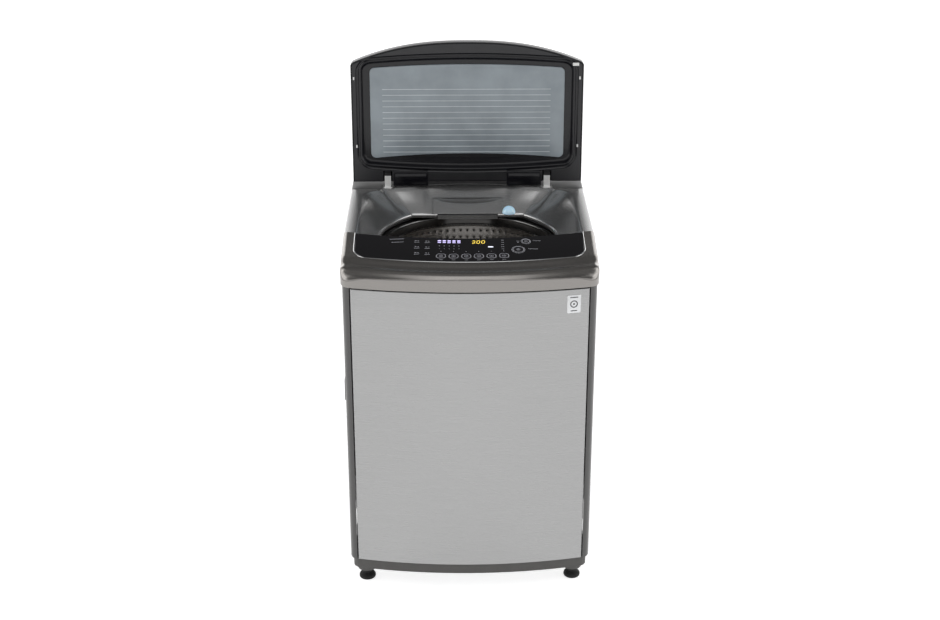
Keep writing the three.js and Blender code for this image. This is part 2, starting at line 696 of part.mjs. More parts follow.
function hingeArm(s) {
  const x0 = s * ARM_X - 8.5;
  const x1 = s * ARM_X + 8.5;
  const eye = rodAlongX(x0, x1, 0, 0, 7.5);
  const bar = box(x0, x1, -46.5, -3, 2.6, 7.4);
  const riser = box(x0, x1, -46.5, -41, 2.6, LID_FACE + 11);
  const tab = box(x0, x1, -57, -41, LID_FACE + 4.4, LID_FACE + 11);
  return cut(join(eye, bar, riser, tab), rodAlongX(x0 - 1, x1 + 1, 0, 0, PIN_BORE_R, 32));
}

function hingePin(s) {
  return rodAlongX(s * ARM_X - 14, s * ARM_X + 14, HINGE_Y, HINGE_Z, PIN_R, 32);
}

function hingeCover(s) {
  const width = 95;
  const x0 = Math.min(s * 107, s * (107 + width));
  const shell = box(x0, x0 + width, -47, -5, LID_FACE - 2.5, LID_FACE - GAP);
  const rear = box(x0, x0 + width, -16.4, -5, LID_FACE - 2.5, LID_FACE + 20);
  return join(shell, rear);
}

// ---------------------------------------------------------------- tub, basket and drive
function outerTub() {
  const wall = turned(0, TUB_Y, [[34, TUB_LOW], [TUB_R, TUB_LOW], [TUB_R, TUB_TOP],
    [TUB_R - 4, TUB_TOP], [TUB_R - 4, TUB_LOW + 6], [34, TUB_LOW + 6]]);
  const lugs = CORNERS.map(([, sx, sy]) => {
    const [x, y] = rodPlace(sx, sy);
    const angle = Math.atan2(y - TUB_Y, x);
    const reach = Math.hypot(x, y - TUB_Y);
    const arm = solid(new THREE.BoxGeometry(reach - TUB_R + 6, 46, 12)
      .translate((reach + TUB_R - 2) / 2, 0, 306).rotateZ(angle).translate(0, TUB_Y, 0));
    const pad = cylinder(x, y, 300, 312, 24, 12);
    const cup = cylinder(x, y, 226, 301, 20, 12);
    return cut(join(arm, pad, cup), cylinder(x, y, 290, 320, 7), cylinder(x, y, 220, 300, 14, 12));
  });
  return cut(join(wall, ...lugs), cylinder(PUMP_X, PUMP_Y, TUB_LOW - 10, TUB_LOW + 10, 15));
}

function tubCover() {
  const low = TUB_TOP + 0.4;
  return turned(0, TUB_Y, [[TUB_R - 4, low], [TUB_R, low], [TUB_R, 845], [TUB_R - 8, 853],
    [236, 853], [236, 850], [TUB_R - 10, 850], [TUB_R - 4, 843]]);
}

function bearingHousing() {
  const top = TUB_LOW - 0.4;
  const bore = SHAFT_R + 1;
  return turned(0, TUB_Y, [[bore, 170], [42, 170], [42, 190], [130, 197], [130, top], [33, top],
    [33, 205], [bore, 205]]);
}

function stator() {
  const shape = new THREE.Shape();
  const poles = 18;
  for (let i = 0; i < poles; i += 1) {
    const start = (i / poles) * 2 * Math.PI;
    const half = Math.PI / poles;
    const corners = [[84, 0], [108, 0.05], [108, half * 1.25], [84, half * 1.3]];
    corners.forEach(([radius, angle], k) => {
      const point = [radius * Math.cos(start + angle), radius * Math.sin(start + angle)];
      if (i === 0 && k === 0) shape.moveTo(...point);
      else shape.lineTo(...point);
    });
  }
  const hole = new THREE.Path();
  hole.absarc(0, 0, 60, 0, 2 * Math.PI, true);
  shape.holes.push(hole);
  const ring = upright(shape, 152, 182);
  const mount = turned(0, 0, [[46, 176], [62, 176], [62, 188], [46, 188]]);
  return join(ring, mount).translate([0, TUB_Y, 0]);
}

function drainSleeve() {
  const top = TUB_LOW - 0.4;
  return turned(PUMP_X, PUMP_Y, [[17, 150], [21, 150], [21, 158], [19.5, 162], [21, 166],
    [19.5, 170], [21, 174], [21, top], [17, top]], 16);
}

function drainPump() {
  const body = cylinder(PUMP_X, PUMP_Y, 84, 114, 36, 28);
  const motor = rodAlongY(PUMP_X, 100, 140, 105, 19);
  const inlet = cylinder(PUMP_X, PUMP_Y, 110, 172, 15, 24);
  const outlet = rodAlongY(PUMP_X, 195, 226, OUTLET_Z, 12);
  const inletBore = cylinder(PUMP_X, PUMP_Y, 100, 180, 12, 24);
  const outletBore = rodAlongY(PUMP_X, PUMP_Y, 230, OUTLET_Z, 9);
  return cut(join(body, motor, inlet, outlet), inletBore, outletBore);
}

function drainOutlet() {
  const pipe = rodAlongY(PUMP_X, 226.4, COVER_REAR - 1, OUTLET_Z, 15);
  const flange = rodAlongY(PUMP_X, CABINET_REAR + GAP, CABINET_REAR + 4, OUTLET_Z, 24);
  const barb = rodAlongY(PUMP_X, 326, 329, OUTLET_Z, 17);
  return cut(join(pipe, flange, barb), rodAlongY(PUMP_X, 220, 340, OUTLET_Z, 12));
}

function cordGland() {
  const flange = rodAlongY(CORD_X, CABINET_REAR + GAP, CABINET_REAR + 4, CORD_Z, 15);
  const throat = rodAlongY(CORD_X, CABINET_REAR - 12, 332, CORD_Z, 9.6);
  return cut(join(flange, throat), rodAlongY(CORD_X, 300, 340, CORD_Z, 4.5));
}

function basketDrum() {
  const inside = BASKET_R - 1;
  return turned(0, TUB_Y, [[24, DRUM_LOW], [BASKET_R, DRUM_LOW], [BASKET_R, DRUM_TOP],
    [inside, DRUM_TOP], [inside, DRUM_LOW + 1], [24, DRUM_LOW + 1]]);
}

function balanceRing() {
  const low = DRUM_TOP + 0.4;
  return turned(0, TUB_Y, [[231, low], [266, low], [268, 822], [268, 840], [262, 846], [231, 846],
    [226, 842], [226, 820]]);
}

function basketHub() {
  const top = DRUM_LOW - 0.4;
  return turned(0, TUB_Y, [[16, 206], [30, 206], [30, 222], [170, 226], [200, 232], [200, top],
    [16, top]]);
}

function lintFilter() {
  const outer = BASKET_R - 4;
  const band = turned(0, TUB_Y, [[246, 430], [outer, 424], [outer, 616], [246, 610]], 64);
  return band.intersect(box(-60, 60, 200, 300, 400, 640));
}

function pulsator() {
  const socket = SHAFT_R + 0.6;
  const under = [[0, 264], [socket, 264], [socket, 242], [26, 242], [30, 268], [60, 264],
    [90, 257], [160, 250], [168, 246]];
  const top = [[172, 252], [165, 258], [90, 262], [60, 276], [30, 292], [0, 296]];
  const dish = turned(0, TUB_Y, [...under, ...top]);
  const fins = Array.from({ length: 6 }, (_, i) => solid(new THREE.BoxGeometry(112, 12, 26)
    .translate(100, 0, 266).rotateZ((i / 6) * 2 * Math.PI).translate(0, TUB_Y, 0)));
  return join(dish, ...fins);
}

function driveShaft() {
  return turned(0, TUB_Y, [[0, 128], [SHAFT_R, 128], [SHAFT_R, 263.6], [0, 263.6]], 24);
}

function rotor() {
  const bore = SHAFT_R + 0.5;
  return turned(0, TUB_Y, [[bore, 134], [36, 134], [36, 138], [124, 138], [124, 184], [115, 184],
    [115, 142], [36, 142], [36, 148], [bore, 148]], 28);
}

// ---------------------------------------------------------------- small pieces of the cabinet
function controlBoard() {
  const board = box(-150, 150, -306, -246, 868, 870);
  const tray = cut(box(-156, 156, -310, -242, 858, 878), box(-153, 153, -307, -245, 861, 880));
  const posts = [-140, 140].map((x) => cylinder(x, -276, 859, 869, 4, 8));
  const clips = SIDES.map(([, s]) => sideBox(s * 149, s * 153.5, -290, -260, 868, 870));
  return join(tray, board, ...posts, ...clips);
}

function lidSwitch() {
  return box(289, 311, -60, -8, 896, 919.4);
}

function hoseHook() {
  return box(-315.8, -CABINET_HALF_W - GAP, -246, -206, 522, 580);
}

function frontBadge() {
  const x = 253;
  const plate = cut(upright(plan(0.9), 786, 833), upright(plan(GAP), 780, 840));
  return plate.intersect(box(x - 17, x + 17, -340, -290, 780, 840));
}

// ---------------------------------------------------------------- assembly
add('cabinet_shell', cabinetShell(), PAINT.cabinet);
add('front_panel', frontPanel(), PAINT.stainless);
add('rear_cover', rearCover(), PAINT.cabinet);
add('base_frame', baseFrame(), PAINT.darkPlastic);
add('top_cover', topCover(), PAINT.silver);
add('hinge_deck', hingeDeck(), PAINT.silver);
add('control_fascia', controlFascia(), PAINT.fascia);
add('control_glass', controlGlass(), PAINT.glass);
add('chrome_trim', chromeTrim(), PAINT.chrome);
add('control_board', controlBoard(), PAINT.greenBoard);
add('dispenser_housing', dispenserHousing(), PAINT.silver);
add('dispenser_drawer', dispenserDrawer(), PAINT.silver);
add('tub_lamp_lens', tubLampLens(), PAINT.lens);
add('lid_switch', lidSwitch(), PAINT.whitePlastic);
add('water_inlet_valve', waterInletValve(), PAINT.whitePlastic);
add('drain_pump', drainPump(), PAINT.darkPlastic);
add('drain_outlet', drainOutlet(), PAINT.darkPlastic);
add('cord_gland', cordGland(), PAINT.darkPlastic);
add('hose_hook', hoseHook(), PAINT.darkPlastic);
add('front_badge', frontBadge(), PAINT.whitePlastic);
CORNERS.forEach(([name, sx, sy]) => add(`levelling_foot_${name}`, foot(sx, sy), PAINT.rubber));
CORNERS.forEach(([name, sx, sy]) => add(`suspension_rod_${name}`, suspensionRod(sx, sy), PAINT.galvanised));
SIDES.forEach(([name, s]) => add(`hinge_bracket_${name}`, hingeBracket(s), PAINT.galvanised));
SIDES.forEach(([name, s]) => add(`hinge_pin_${name}`, hingePin(s), PAINT.steel));
BUTTONS.forEach((button) => add(button.name, buttonPrism(button, 0, -7, 0.7), PAINT.glass));

add('lid_outer_shell', lidOuterShell(), PAINT.lidShell, lid);
add('lid_inner_frame', lidInnerFrame(), PAINT.darkPlastic, lid);
add('lid_inner_plate', lidInnerPlate(), PAINT.lidPlate, lid);
SIDES.forEach(([name, s]) => add(`hinge_arm_${name}`, hingeArm(s), PAINT.whitePlastic, lid));
SIDES.forEach(([name, s]) => add(`hinge_cover_${name}`, hingeCover(s), PAINT.lidShell, lid));

add('outer_tub', outerTub(), PAINT.tub);
add('tub_cover', tubCover(), PAINT.darkPlastic);
add('bearing_housing', bearingHousing(), PAINT.galvanised);
add('stator', stator(), PAINT.galvanised);
add('drain_sleeve', drainSleeve(), PAINT.rubber);
add('basket_drum', basketDrum(), PAINT.steel);
add('balance_ring', balanceRing(), PAINT.darkPlastic);
add('basket_hub', basketHub(), PAINT.galvanised);
add('lint_filter', lintFilter(), PAINT.whitePlastic);
add('pulsator', pulsator(), PAINT.whitePlastic);
add('drive_shaft', driveShaft(), PAINT.steel);
add('rotor', rotor(), PAINT.galvanised);

export default washer;
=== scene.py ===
"""The looks of a top load washing machine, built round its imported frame.

Shapes are worked out in millimetres and turned into metres where a mesh is made.
"""
import json
import math

import bmesh
import bpy
from mathutils import Matrix, Vector

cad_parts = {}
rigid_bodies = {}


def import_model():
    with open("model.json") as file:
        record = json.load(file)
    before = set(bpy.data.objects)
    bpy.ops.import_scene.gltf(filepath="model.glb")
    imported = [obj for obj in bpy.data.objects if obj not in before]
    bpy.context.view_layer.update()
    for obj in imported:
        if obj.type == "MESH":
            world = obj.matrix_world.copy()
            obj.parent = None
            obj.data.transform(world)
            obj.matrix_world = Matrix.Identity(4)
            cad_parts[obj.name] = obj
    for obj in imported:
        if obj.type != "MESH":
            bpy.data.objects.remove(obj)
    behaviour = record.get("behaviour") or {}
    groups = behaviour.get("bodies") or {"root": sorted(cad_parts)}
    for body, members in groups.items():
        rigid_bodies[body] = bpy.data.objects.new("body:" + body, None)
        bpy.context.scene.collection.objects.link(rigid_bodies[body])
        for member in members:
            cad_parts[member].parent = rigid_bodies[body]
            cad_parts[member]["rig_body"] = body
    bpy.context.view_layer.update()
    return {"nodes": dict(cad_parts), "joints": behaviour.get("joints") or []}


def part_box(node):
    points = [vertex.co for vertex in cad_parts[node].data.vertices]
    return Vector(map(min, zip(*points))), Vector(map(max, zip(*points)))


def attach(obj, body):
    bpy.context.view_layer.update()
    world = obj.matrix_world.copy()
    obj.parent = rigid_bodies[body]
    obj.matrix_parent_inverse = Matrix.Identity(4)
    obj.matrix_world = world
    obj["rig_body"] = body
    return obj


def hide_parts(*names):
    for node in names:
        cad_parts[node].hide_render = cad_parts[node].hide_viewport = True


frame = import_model()

MM = 0.001
SCENE = bpy.context.scene


def box_mm(node):
    """The lowest and highest corner of a CAD node, in millimetres."""
    low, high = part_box(node)
    return low / MM, high / MM


# ---------------------------------------------------------------- driving dimensions
FASCIA_LOW, FASCIA_HIGH = box_mm("control_fascia")
PANEL_LOW, PANEL_HIGH = box_mm("front_panel")
DECK_LOW, DECK_HIGH = box_mm("hinge_deck")
DRUM_LOW, DRUM_HIGH = box_mm("basket_drum")
RING_LOW, RING_HIGH = box_mm("balance_ring")
PULSATOR_LOW, PULSATOR_HIGH = box_mm("pulsator")
LENS_LOW, LENS_HIGH = box_mm("tub_lamp_lens")
TUB_COVER_LOW, TUB_COVER_HIGH = box_mm("tub_cover")
COVER_HALF_W = FASCIA_HIGH.x
COVER_FRONT = FASCIA_LOW.y
COVER_LOW_Z = FASCIA_LOW.z
COVER_REAR = DECK_HIGH.y
DECK_Z = DECK_HIGH.z
TUB_Y = (DRUM_LOW.y + DRUM_HIGH.y) / 2
FRONT_BOW_R = 1321               # plan radius of the cover's bowed front
CORNER_R = 34                    # front corners of the cover in plan
REAR_CORNER_R = 16
OPENING_R = 229
OPENING_Z = 866
OPENING_CHORD_Y = 187            # flat rear side of the tub opening
WALL_TOP_Y = 275                 # top of the bowl's flat rear wall
BLOCK_BOW_R = 1000               # plan radius of the control block's lines
BLOCK_REAR = -166                # the control block's rear edge, in the middle
GLASS_FRONT = -278
GLASS_FRONT_Z = 908
GLASS_HALF_W = 287
GLASS_CORNER_R = 34
GLASS_SLOPE = (FASCIA_HIGH.z - GLASS_FRONT_Z) / (BLOCK_REAR - GLASS_FRONT)
LID_LEAN = math.radians(2)
LID_HALF_W = 311
LID_SIDE_REACH = 343             # hinge axis to the lid's front corners
LID_BOW = 55.5                   # how far the middle of the front edge stands further out
LID_BOW_POWER = 2.4
LID_CORNER_R = 12
LID_FACE = 5                     # inner face above the hinge axis, lid closed
LID_T = 39
RECESS = (283, 342, 13, 69, 14, 26)
RECESS_DEPTH = 13
PLATE = (261, 328, 10, 80, -13, 14)


# ---------------------------------------------------------------- curves and outlines
def arc(cx, cy, radius, start, end, steps):
    """Points on an arc, both ends included."""
    angles = [start + (end - start) * k / steps for k in range(steps + 1)]
    return [(cx + radius * math.cos(a), cy + radius * math.sin(a)) for a in angles]


def through(points):
    """A smooth function y(x) through points with rising x."""
    slopes = []
    for k in range(len(points)):
        before = points[max(k - 1, 0)]
        after = points[min(k + 1, len(points) - 1)]
        slopes.append((after[1] - before[1]) / (after[0] - before[0]))

    def value(x):
        if x <= points[0][0]:
            return points[0][1]
        for k in range(len(points) - 1):
            (x0, y0), (x1, y1) = points[k], points[k + 1]
            if x <= x1:
                span = x1 - x0
                t = (x - x0) / span
                return ((1 + 2 * t) * (1 - t) ** 2 * y0 + t * (1 - t) ** 2 * span * slopes[k]
                        + t * t * (3 - 2 * t) * y1 + t * t * (t - 1) * span * slopes[k + 1])
        return points[-1][1]

    return value


def smoothstep(low, high, x):
    t = min(max((x - low) / (high - low), 0), 1)
    return t * t * (3 - 2 * t)


def mirrored(half):
    """A closed outline from its right half, which starts and ends on the middle line."""
    return half + [(-x, y) for x, y in reversed(half[1:-1])]


def softened(outline, reach, steps=6):
    """A closed outline with its corners rounded, from at most the given distance before each."""
    made = []
    for k, corner in enumerate(outline):
        here = Vector(corner)
        before = Vector(outline[k - 1])
        after = Vector(outline[(k + 1) % len(outline)])
        start = here + (before - here) * min(reach / (before - here).length, 0.45)
        end = here + (after - here) * min(reach / (after - here).length, 0.45)
        for step in range(steps + 1):
            t = step / steps
            point = start * (1 - t) ** 2 + here * 2 * t * (1 - t) + end * t * t
            made.append((point.x, point.y))
    return made


def grown(outline, distance):
    """A closed counter-clockwise outline moved outwards along its normals."""
    made = []
    for k, (x, y) in enumerate(outline):
        (ax, ay), (bx, by) = outline[k - 1], outline[(k + 1) % len(outline)]
        normal = Vector((by - ay, ax - bx)).normalized()
        made.append((x + normal.x * distance, y + normal.y * distance))
    return made


def crossing(outline, angle, cx, cy):
    """Where a ray from (cx, cy) leaves a closed outline."""
    dx, dy = math.cos(angle), math.sin(angle)
    best = 0
    for k, (ax, ay) in enumerate(outline):
        bx, by = outline[(k + 1) % len(outline)]
        ex, ey = bx - ax, by - ay
        det = dx * ey - dy * ex
        if abs(det) < 1e-9:
            continue
        t = ((ax - cx) * ey - (ay - cy) * ex) / det
        u = ((ax - cx) * dy - (ay - cy) * dx) / det
        if t > 0 and -1e-6 <= u <= 1 + 1e-6:
            best = max(best, t)
    return cx + dx * best, cy + dy * best


def ray_angles(cx, cy, outlines, count):
    """Even angles all round, and those of every point of the given outlines."""
    angles = [2 * math.pi * k / count for k in range(count)]
    for outline in outlines:
        angles += [math.atan2(y - cy, x - cx) % (2 * math.pi) for x, y in outline]
    kept = []
    for angle in sorted(angles):
        if not kept or angle - kept[-1] > 0.0035:
            kept.append(angle)
    return kept


def plan_outline(grow=0.0, rear=None, bow_steps=64, corner_steps=12):
    """The top cover's outline from above, grown outwards."""
    rear = COVER_REAR + grow if rear is None else rear
    half, radius, corner = COVER_HALF_W + grow, FRONT_BOW_R + grow, CORNER_R + grow
    centre_y = COVER_FRONT + FRONT_BOW_R
    corner_x = half - corner
    corner_y = centre_y - math.sqrt((radius - corner) ** 2 - corner_x ** 2)
    bow = math.atan2(centre_y - corner_y, corner_x)
    turn = math.pi
    back = REAR_CORNER_R
    points = arc(-corner_x, corner_y, corner, turn, turn + bow, corner_steps)
    points += arc(0, centre_y, radius, turn + bow, 2 * turn - bow, bow_steps)[1:-1]
    points += arc(corner_x, corner_y, corner, 2 * turn - bow, 2 * turn, corner_steps)
    points += arc(half - back, rear - back, back, 0, turn / 2, 6)
    points += arc(-half + back, rear - back, back, turn / 2, turn, 6)
    return points


def bowed_y(x, s):
    """The y of a point that is s from the middle of the machine in the control block's bowed lines."""
    return s + x * x / (2 * BLOCK_BOW_R)


# ---------------------------------------------------------------- meshes
def loft(rings, ring_closes=True, loft_closes=False, caps=False):
    """Quads between rings of equal length."""
    count = len(rings[0])
    points = [point for ring in rings for point in ring]
    faces = []
    for r in range(len(rings) if loft_closes else len(rings) - 1):
        upper = (r + 1) % len(rings)
        for i in range(count if ring_closes else count - 1):
            j = (i + 1) % count
            faces.append((r * count + i, r * count + j, upper * count + j, upper * count + i))
    if caps:
        faces.append(tuple(range(count)))
        faces.append(tuple(range((len(rings) - 1) * count, len(rings) * count)))
    return points, faces


def end_caps(rings):
    """The faces that close the two ends of a loft whose rings don't close but whose loft does."""
    count = len(rings[0])
    return [tuple(r * count for r in range(len(rings))),
            tuple(r * count + count - 1 for r in range(len(rings)))]


def lathe(cx, cy, profile, steps=96, closed=True):
    """A profile of (radius, z) turned about a vertical axis. It closes on itself, or ends on the axis."""
    rings = []
    for radius, z in profile:
        angles = [2 * math.pi * k / steps for k in range(steps)]
        rings.append([(cx + radius * math.cos(a), cy + radius * math.sin(a), z) for a in angles])
    return loft(rings, True, closed)


def moved(shape, matrix):
    points, faces = shape
    return [tuple(matrix @ Vector(point)) for point in points], faces


def turned_to_y(shape, x, y, z):
    """A shape about the Z axis, laid along +Y and moved to a place."""
    return moved(shape, Matrix.Translation((x, y, z)) @ Matrix.Rotation(-math.pi / 2, 4, "X"))


def soft_box(x0, x1, y0, y1, z0, z1, radius=1.0, segments=3):
    """A box with rounded edges."""
    cube = bmesh.new()
    bmesh.ops.create_cube(cube, size=1)
    for vertex in cube.verts:
        vertex.co.x = x0 if vertex.co.x < 0 else x1
        vertex.co.y = y0 if vertex.co.y < 0 else y1
        vertex.co.z = z0 if vertex.co.z < 0 else z1
    bmesh.ops.bevel(cube, geom=cube.edges[:], offset=radius, segments=segments, profile=0.5,
                    affect="EDGES")
    cube.verts.index_update()
    points = [tuple(vertex.co) for vertex in cube.verts]
    faces = [tuple(vertex.index for vertex in face.verts) for face in cube.faces]
    cube.free()
    return points, faces


def prism(outline, low, high, edge=0.0, edge_steps=3):
    """An outline pulled up from low to high, with its upper edge rounded."""
    rings = [[(x, y, low) for x, y in outline], [(x, y, high - edge) for x, y in outline]]
    for step in range(1, edge_steps + 1 if edge else 1):
        a = math.pi / 2 * step / edge_steps
        inner = grown(outline, -edge * (1 - math.cos(a)))
        rings.append([(x, y, high - edge + edge * math.sin(a)) for x, y in inner])
    return loft(rings, caps=True)


def rounded_bar(cx, cy, width, depth, radius, steps=6):
    """A rectangle with round corners, counter-clockwise."""
    x, y = width / 2 - radius, depth / 2 - radius
    quarter = math.pi / 2
    points = arc(cx + x, cy + y, radius, 0, quarter, steps)
    points += arc(cx - x, cy + y, radius, quarter, 2 * quarter, steps)
    points += arc(cx - x, cy - y, radius, 2 * quarter, 3 * quarter, steps)
    points += arc(cx + x, cy - y, radius, 3 * quarter, 4 * quarter, steps)
    return points


def make(name, parts, body, replaces=(), sharp=32):
    """One piece from (shape, look) parts. It rides on a body and stands for CAD nodes."""
    looks = []
    work = bmesh.new()
    for (points, faces), look in parts:
        if look not in looks:
            looks.append(look)
        vertices = [work.verts.new(Vector(point) * MM) for point in points]
        for face in faces:
            made = work.faces.new([vertices[k] for k in face])
            made.material_index = looks.index(look)
            made.smooth = True
    bmesh.ops.remove_doubles(work, verts=work.verts[:], dist=1e-7)
    bmesh.ops.recalc_face_normals(work, faces=work.faces[:])
    mesh = bpy.data.meshes.new(name)
    work.to_mesh(mesh)
    work.free()
    for look in looks:
        mesh.materials.append(look)
    mesh.set_sharp_from_angle(angle=math.radians(sharp))
    piece = bpy.data.objects.new(name, mesh)
    SCENE.collection.objects.link(piece)
    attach(piece, body)
    if replaces:
        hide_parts(*replaces)
    return piece


def settle(piece, sharp=32):
    """Keeps what the modifiers of a piece make of its mesh."""
    graph = bpy.context.evaluated_depsgraph_get()
    mesh = bpy.data.meshes.new_from_object(piece.evaluated_get(graph))
    piece.modifiers.clear()
    piece.data = mesh
    for face in mesh.polygons:
        face.use_smooth = True
    mesh.set_sharp_from_angle(angle=math.radians(sharp))
    return piece


def carve(piece, shapes):
    """Cuts closed shapes out of a piece."""
    for points, faces in shapes:
        mesh = bpy.data.meshes.new("cutter")
        mesh.from_pydata([Vector(point) * MM for point in points], [], faces)
        work = bmesh.new()
        work.from_mesh(mesh)
        bmesh.ops.recalc_face_normals(work, faces=work.faces[:])
        work.to_mesh(mesh)
        work.free()
        cutter = bpy.data.objects.new("cutter", mesh)
        SCENE.collection.objects.link(cutter)
        cut = piece.modifiers.new("cut", "BOOLEAN")
        cut.operation = "DIFFERENCE"
        cut.solver = "EXACT"
        cut.object = cutter
        bpy.context.view_layer.update()
        settle(piece)
        bpy.data.objects.remove(cutter)
    return piece


def sliced(shape, point, normal):
    """The part of a closed shape on the side of a plane that its normal points to, closed again."""
    points, faces = shape
    work = bmesh.new()
    vertices = [work.verts.new(p) for p in points]
    for face in faces:
        work.faces.new([vertices[k] for k in face])
    found = bmesh.ops.bisect_plane(work, geom=work.verts[:] + work.edges[:] + work.faces[:],
                                   plane_co=point, plane_no=normal, clear_inner=True)
    rims = [e for e in found["geom_cut"] if isinstance(e, bmesh.types.BMEdge)]
    bmesh.ops.triangle_fill(work, edges=rims, use_beauty=True)
    work.verts.index_update()
    points = [tuple(vertex.co) for vertex in work.verts]
    faces = [tuple(vertex.index for vertex in face.verts) for face in work.faces]
    work.free()
    return points, faces


def refined(node, look, edge=0.0, sharp=32):
    """A smooth shaded piece in a CAD node's place, with its own edges slightly rounded."""
    work = bmesh.new()
    work.from_mesh(frame["nodes"][node].data)
    bmesh.ops.remove_doubles(work, verts=work.verts[:], dist=2e-6)
    bmesh.ops.dissolve_limit(work, angle_limit=math.radians(0.4), verts=work.verts[:],
                             edges=work.edges[:])
    if edge:
        limit = math.radians(40)
        edges = [e for e in work.edges if len(e.link_faces) == 2 and e.calc_face_angle() > limit]
        bmesh.ops.bevel(work, geom=edges, offset=edge * MM, segments=2, profile=0.5,
                        affect="EDGES", clamp_overlap=True)
    for face in work.faces:
        face.smooth = True
    bmesh.ops.recalc_face_normals(work, faces=work.faces[:])
    mesh = bpy.data.meshes.new(node + "_fine")
    work.to_mesh(mesh)
    work.free()
    mesh.materials.clear()
    mesh.materials.append(look)
    mesh.set_sharp_from_angle(angle=math.radians(sharp))
    piece = bpy.data.objects.new(node + "_fine", mesh)
    SCENE.collection.objects.link(piece)
    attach(piece, frame["nodes"][node]["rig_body"])
    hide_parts(node)
    return piece


# ---------------------------------------------------------------- materials
class Look:
    """A node material that is put together step by step."""

    def __init__(self, name, roughness, metallic=0.0, **sockets):
        self.material = bpy.data.materials.new(name)
        self.material.use_nodes = True
        self.tree = self.material.node_tree
        self.shader = self.tree.nodes["Principled BSDF"]
        self.set("Roughness", roughness)
        self.set("Metallic", metallic)
        for socket, value in sockets.items():
            self.set(socket.replace("_", " "), value)

    def set(self, socket, value):
        self.shader.inputs[socket].default_value = value

    def node(self, kind, **settings):
        made = self.tree.nodes.new(kind)
        for key, value in settings.items():
            setattr(made, key, value)
        return made

    def join(self, source, target):
        self.tree.links.new(source, target)

    def place(self, stretch=(1, 1, 1)):
        """Object coordinates in metres, stretched."""
        coordinates = self.node("ShaderNodeTexCoord")
        mapping = self.node("ShaderNodeMapping")
        mapping.inputs["Scale"].default_value = stretch
        self.join(coordinates.outputs["Object"], mapping.inputs["Vector"])
        return mapping.outputs["Vector"]

    def noise(self, scale, detail=3.0, stretch=(1, 1, 1), roughness=0.55):
        texture = self.node("ShaderNodeTexNoise")
        texture.inputs["Scale"].default_value = scale
        texture.inputs["Detail"].default_value = detail
        texture.inputs["Roughness"].default_value = roughness
        self.join(self.place(stretch), texture.inputs["Vector"])
        return texture.outputs["Fac"]

    def colours(self, source, first, second, low=0.35, high=0.65):
        """Base colour from first to second as source goes from low to high."""
        ramp = self.node("ShaderNodeValToRGB")
        ramp.color_ramp.elements[0].position = low
        ramp.color_ramp.elements[0].color = (*first, 1)
        ramp.color_ramp.elements[1].position = high
        ramp.color_ramp.elements[1].color = (*second, 1)
        self.join(source, ramp.inputs["Fac"])
        self.join(ramp.outputs["Color"], self.shader.inputs["Base Color"])
        return self

    def rough(self, source, low, high):
        scale = self.node("ShaderNodeMapRange")
        scale.inputs["From Min"].default_value = 0.3
        scale.inputs["From Max"].default_value = 0.7
        scale.inputs["To Min"].default_value = low
        scale.inputs["To Max"].default_value = high
        self.join(source, scale.inputs["Value"])
        self.join(scale.outputs["Result"], self.shader.inputs["Roughness"])
        return self

    def relief(self, source, height, strength=1.0):
        """Bump of a height in millimetres."""
        bump = self.node("ShaderNodeBump")
        bump.inputs["Strength"].default_value = strength
        bump.inputs["Distance"].default_value = height * MM
        self.join(source, bump.inputs["Height"])
        self.join(bump.outputs["Normal"], self.shader.inputs["Normal"])
        return self

    def grain_direction(self):
        """Highlights drawn out across a horizontal grain."""
        tangent = self.node("ShaderNodeTangent", direction_type="RADIAL", axis="Z")
        self.join(tangent.outputs["Tangent"], self.shader.inputs["Tangent"])
        return self


def tint(value, warm=0.0):
    """A grey, slightly warm or cool."""
    return value * (1 + warm), value, value * (1 - warm)


def brushed(name, grey, roughness, warm=0.0, anisotropy=0.5, stretch=(1, 1, 90)):
    look = Look(name, roughness, 1.0, Anisotropic=anisotropy)
    fine = look.noise(9, 6, stretch, 0.7)
    look.colours(fine, tint(grey * 0.93, warm), tint(grey * 1.05, warm), 0.3, 0.7)
    look.rough(fine, roughness - 0.035, roughness + 0.045)
    look.relief(look.noise(26, 4, stretch, 0.6), 0.012, 0.35)
    look.grain_direction()
    return look.material


def metallic_paint(name, colour, roughness, metallic, coat=0.25):
    look = Look(name, roughness, metallic, Coat_Weight=coat, Coat_Roughness=0.12)
    flakes = look.noise(1400, 2, roughness=0.7)
    low = tuple(c * 0.94 for c in colour)
    high = tuple(c * 1.05 for c in colour)
    look.colours(flakes, low, high, 0.35, 0.65)
    look.rough(look.noise(14, 4), roughness - 0.02, roughness + 0.03)
    look.relief(look.noise(900, 2), 0.0016, 0.2)
    return look.material


def moulded(name, colour, roughness, grain=0.02, spread=0.06, scale=900, gloss=0.35):
    """Moulded plastic with a fine grain and slight shade changes."""
    look = Look(name, roughness, 0.0, IOR=1.49, Specular_IOR_Level=gloss)
    low = tuple(c * (1 - spread) for c in colour)
    high = tuple(c * (1 + spread) for c in colour)
    look.colours(look.noise(24, 5), low, high)
    look.rough(look.noise(60, 4), roughness - 0.04, roughness + 0.05)
    look.relief(look.noise(scale, 3, roughness=0.6), grain, 0.5)
    return look.material


def glossy(name, colour, roughness, coat=0.5, peel=0.006, gloss=0.4):
    """Gloss plastic with a little orange peel and faint dust in its roughness."""
    look = Look(name, roughness, 0.0, IOR=1.5, Specular_IOR_Level=gloss,
                Coat_Weight=coat, Coat_Roughness=0.04)
    low = tuple(c * 0.9 for c in colour)
    high = tuple(c * 1.12 for c in colour)
    look.colours(look.noise(11, 4), low, high)
    look.rough(look.noise(34, 6, roughness=0.7), max(roughness - 0.02, 0.02), roughness + 0.03)
    look.relief(look.noise(130, 2), peel, 0.3)
    return look.material


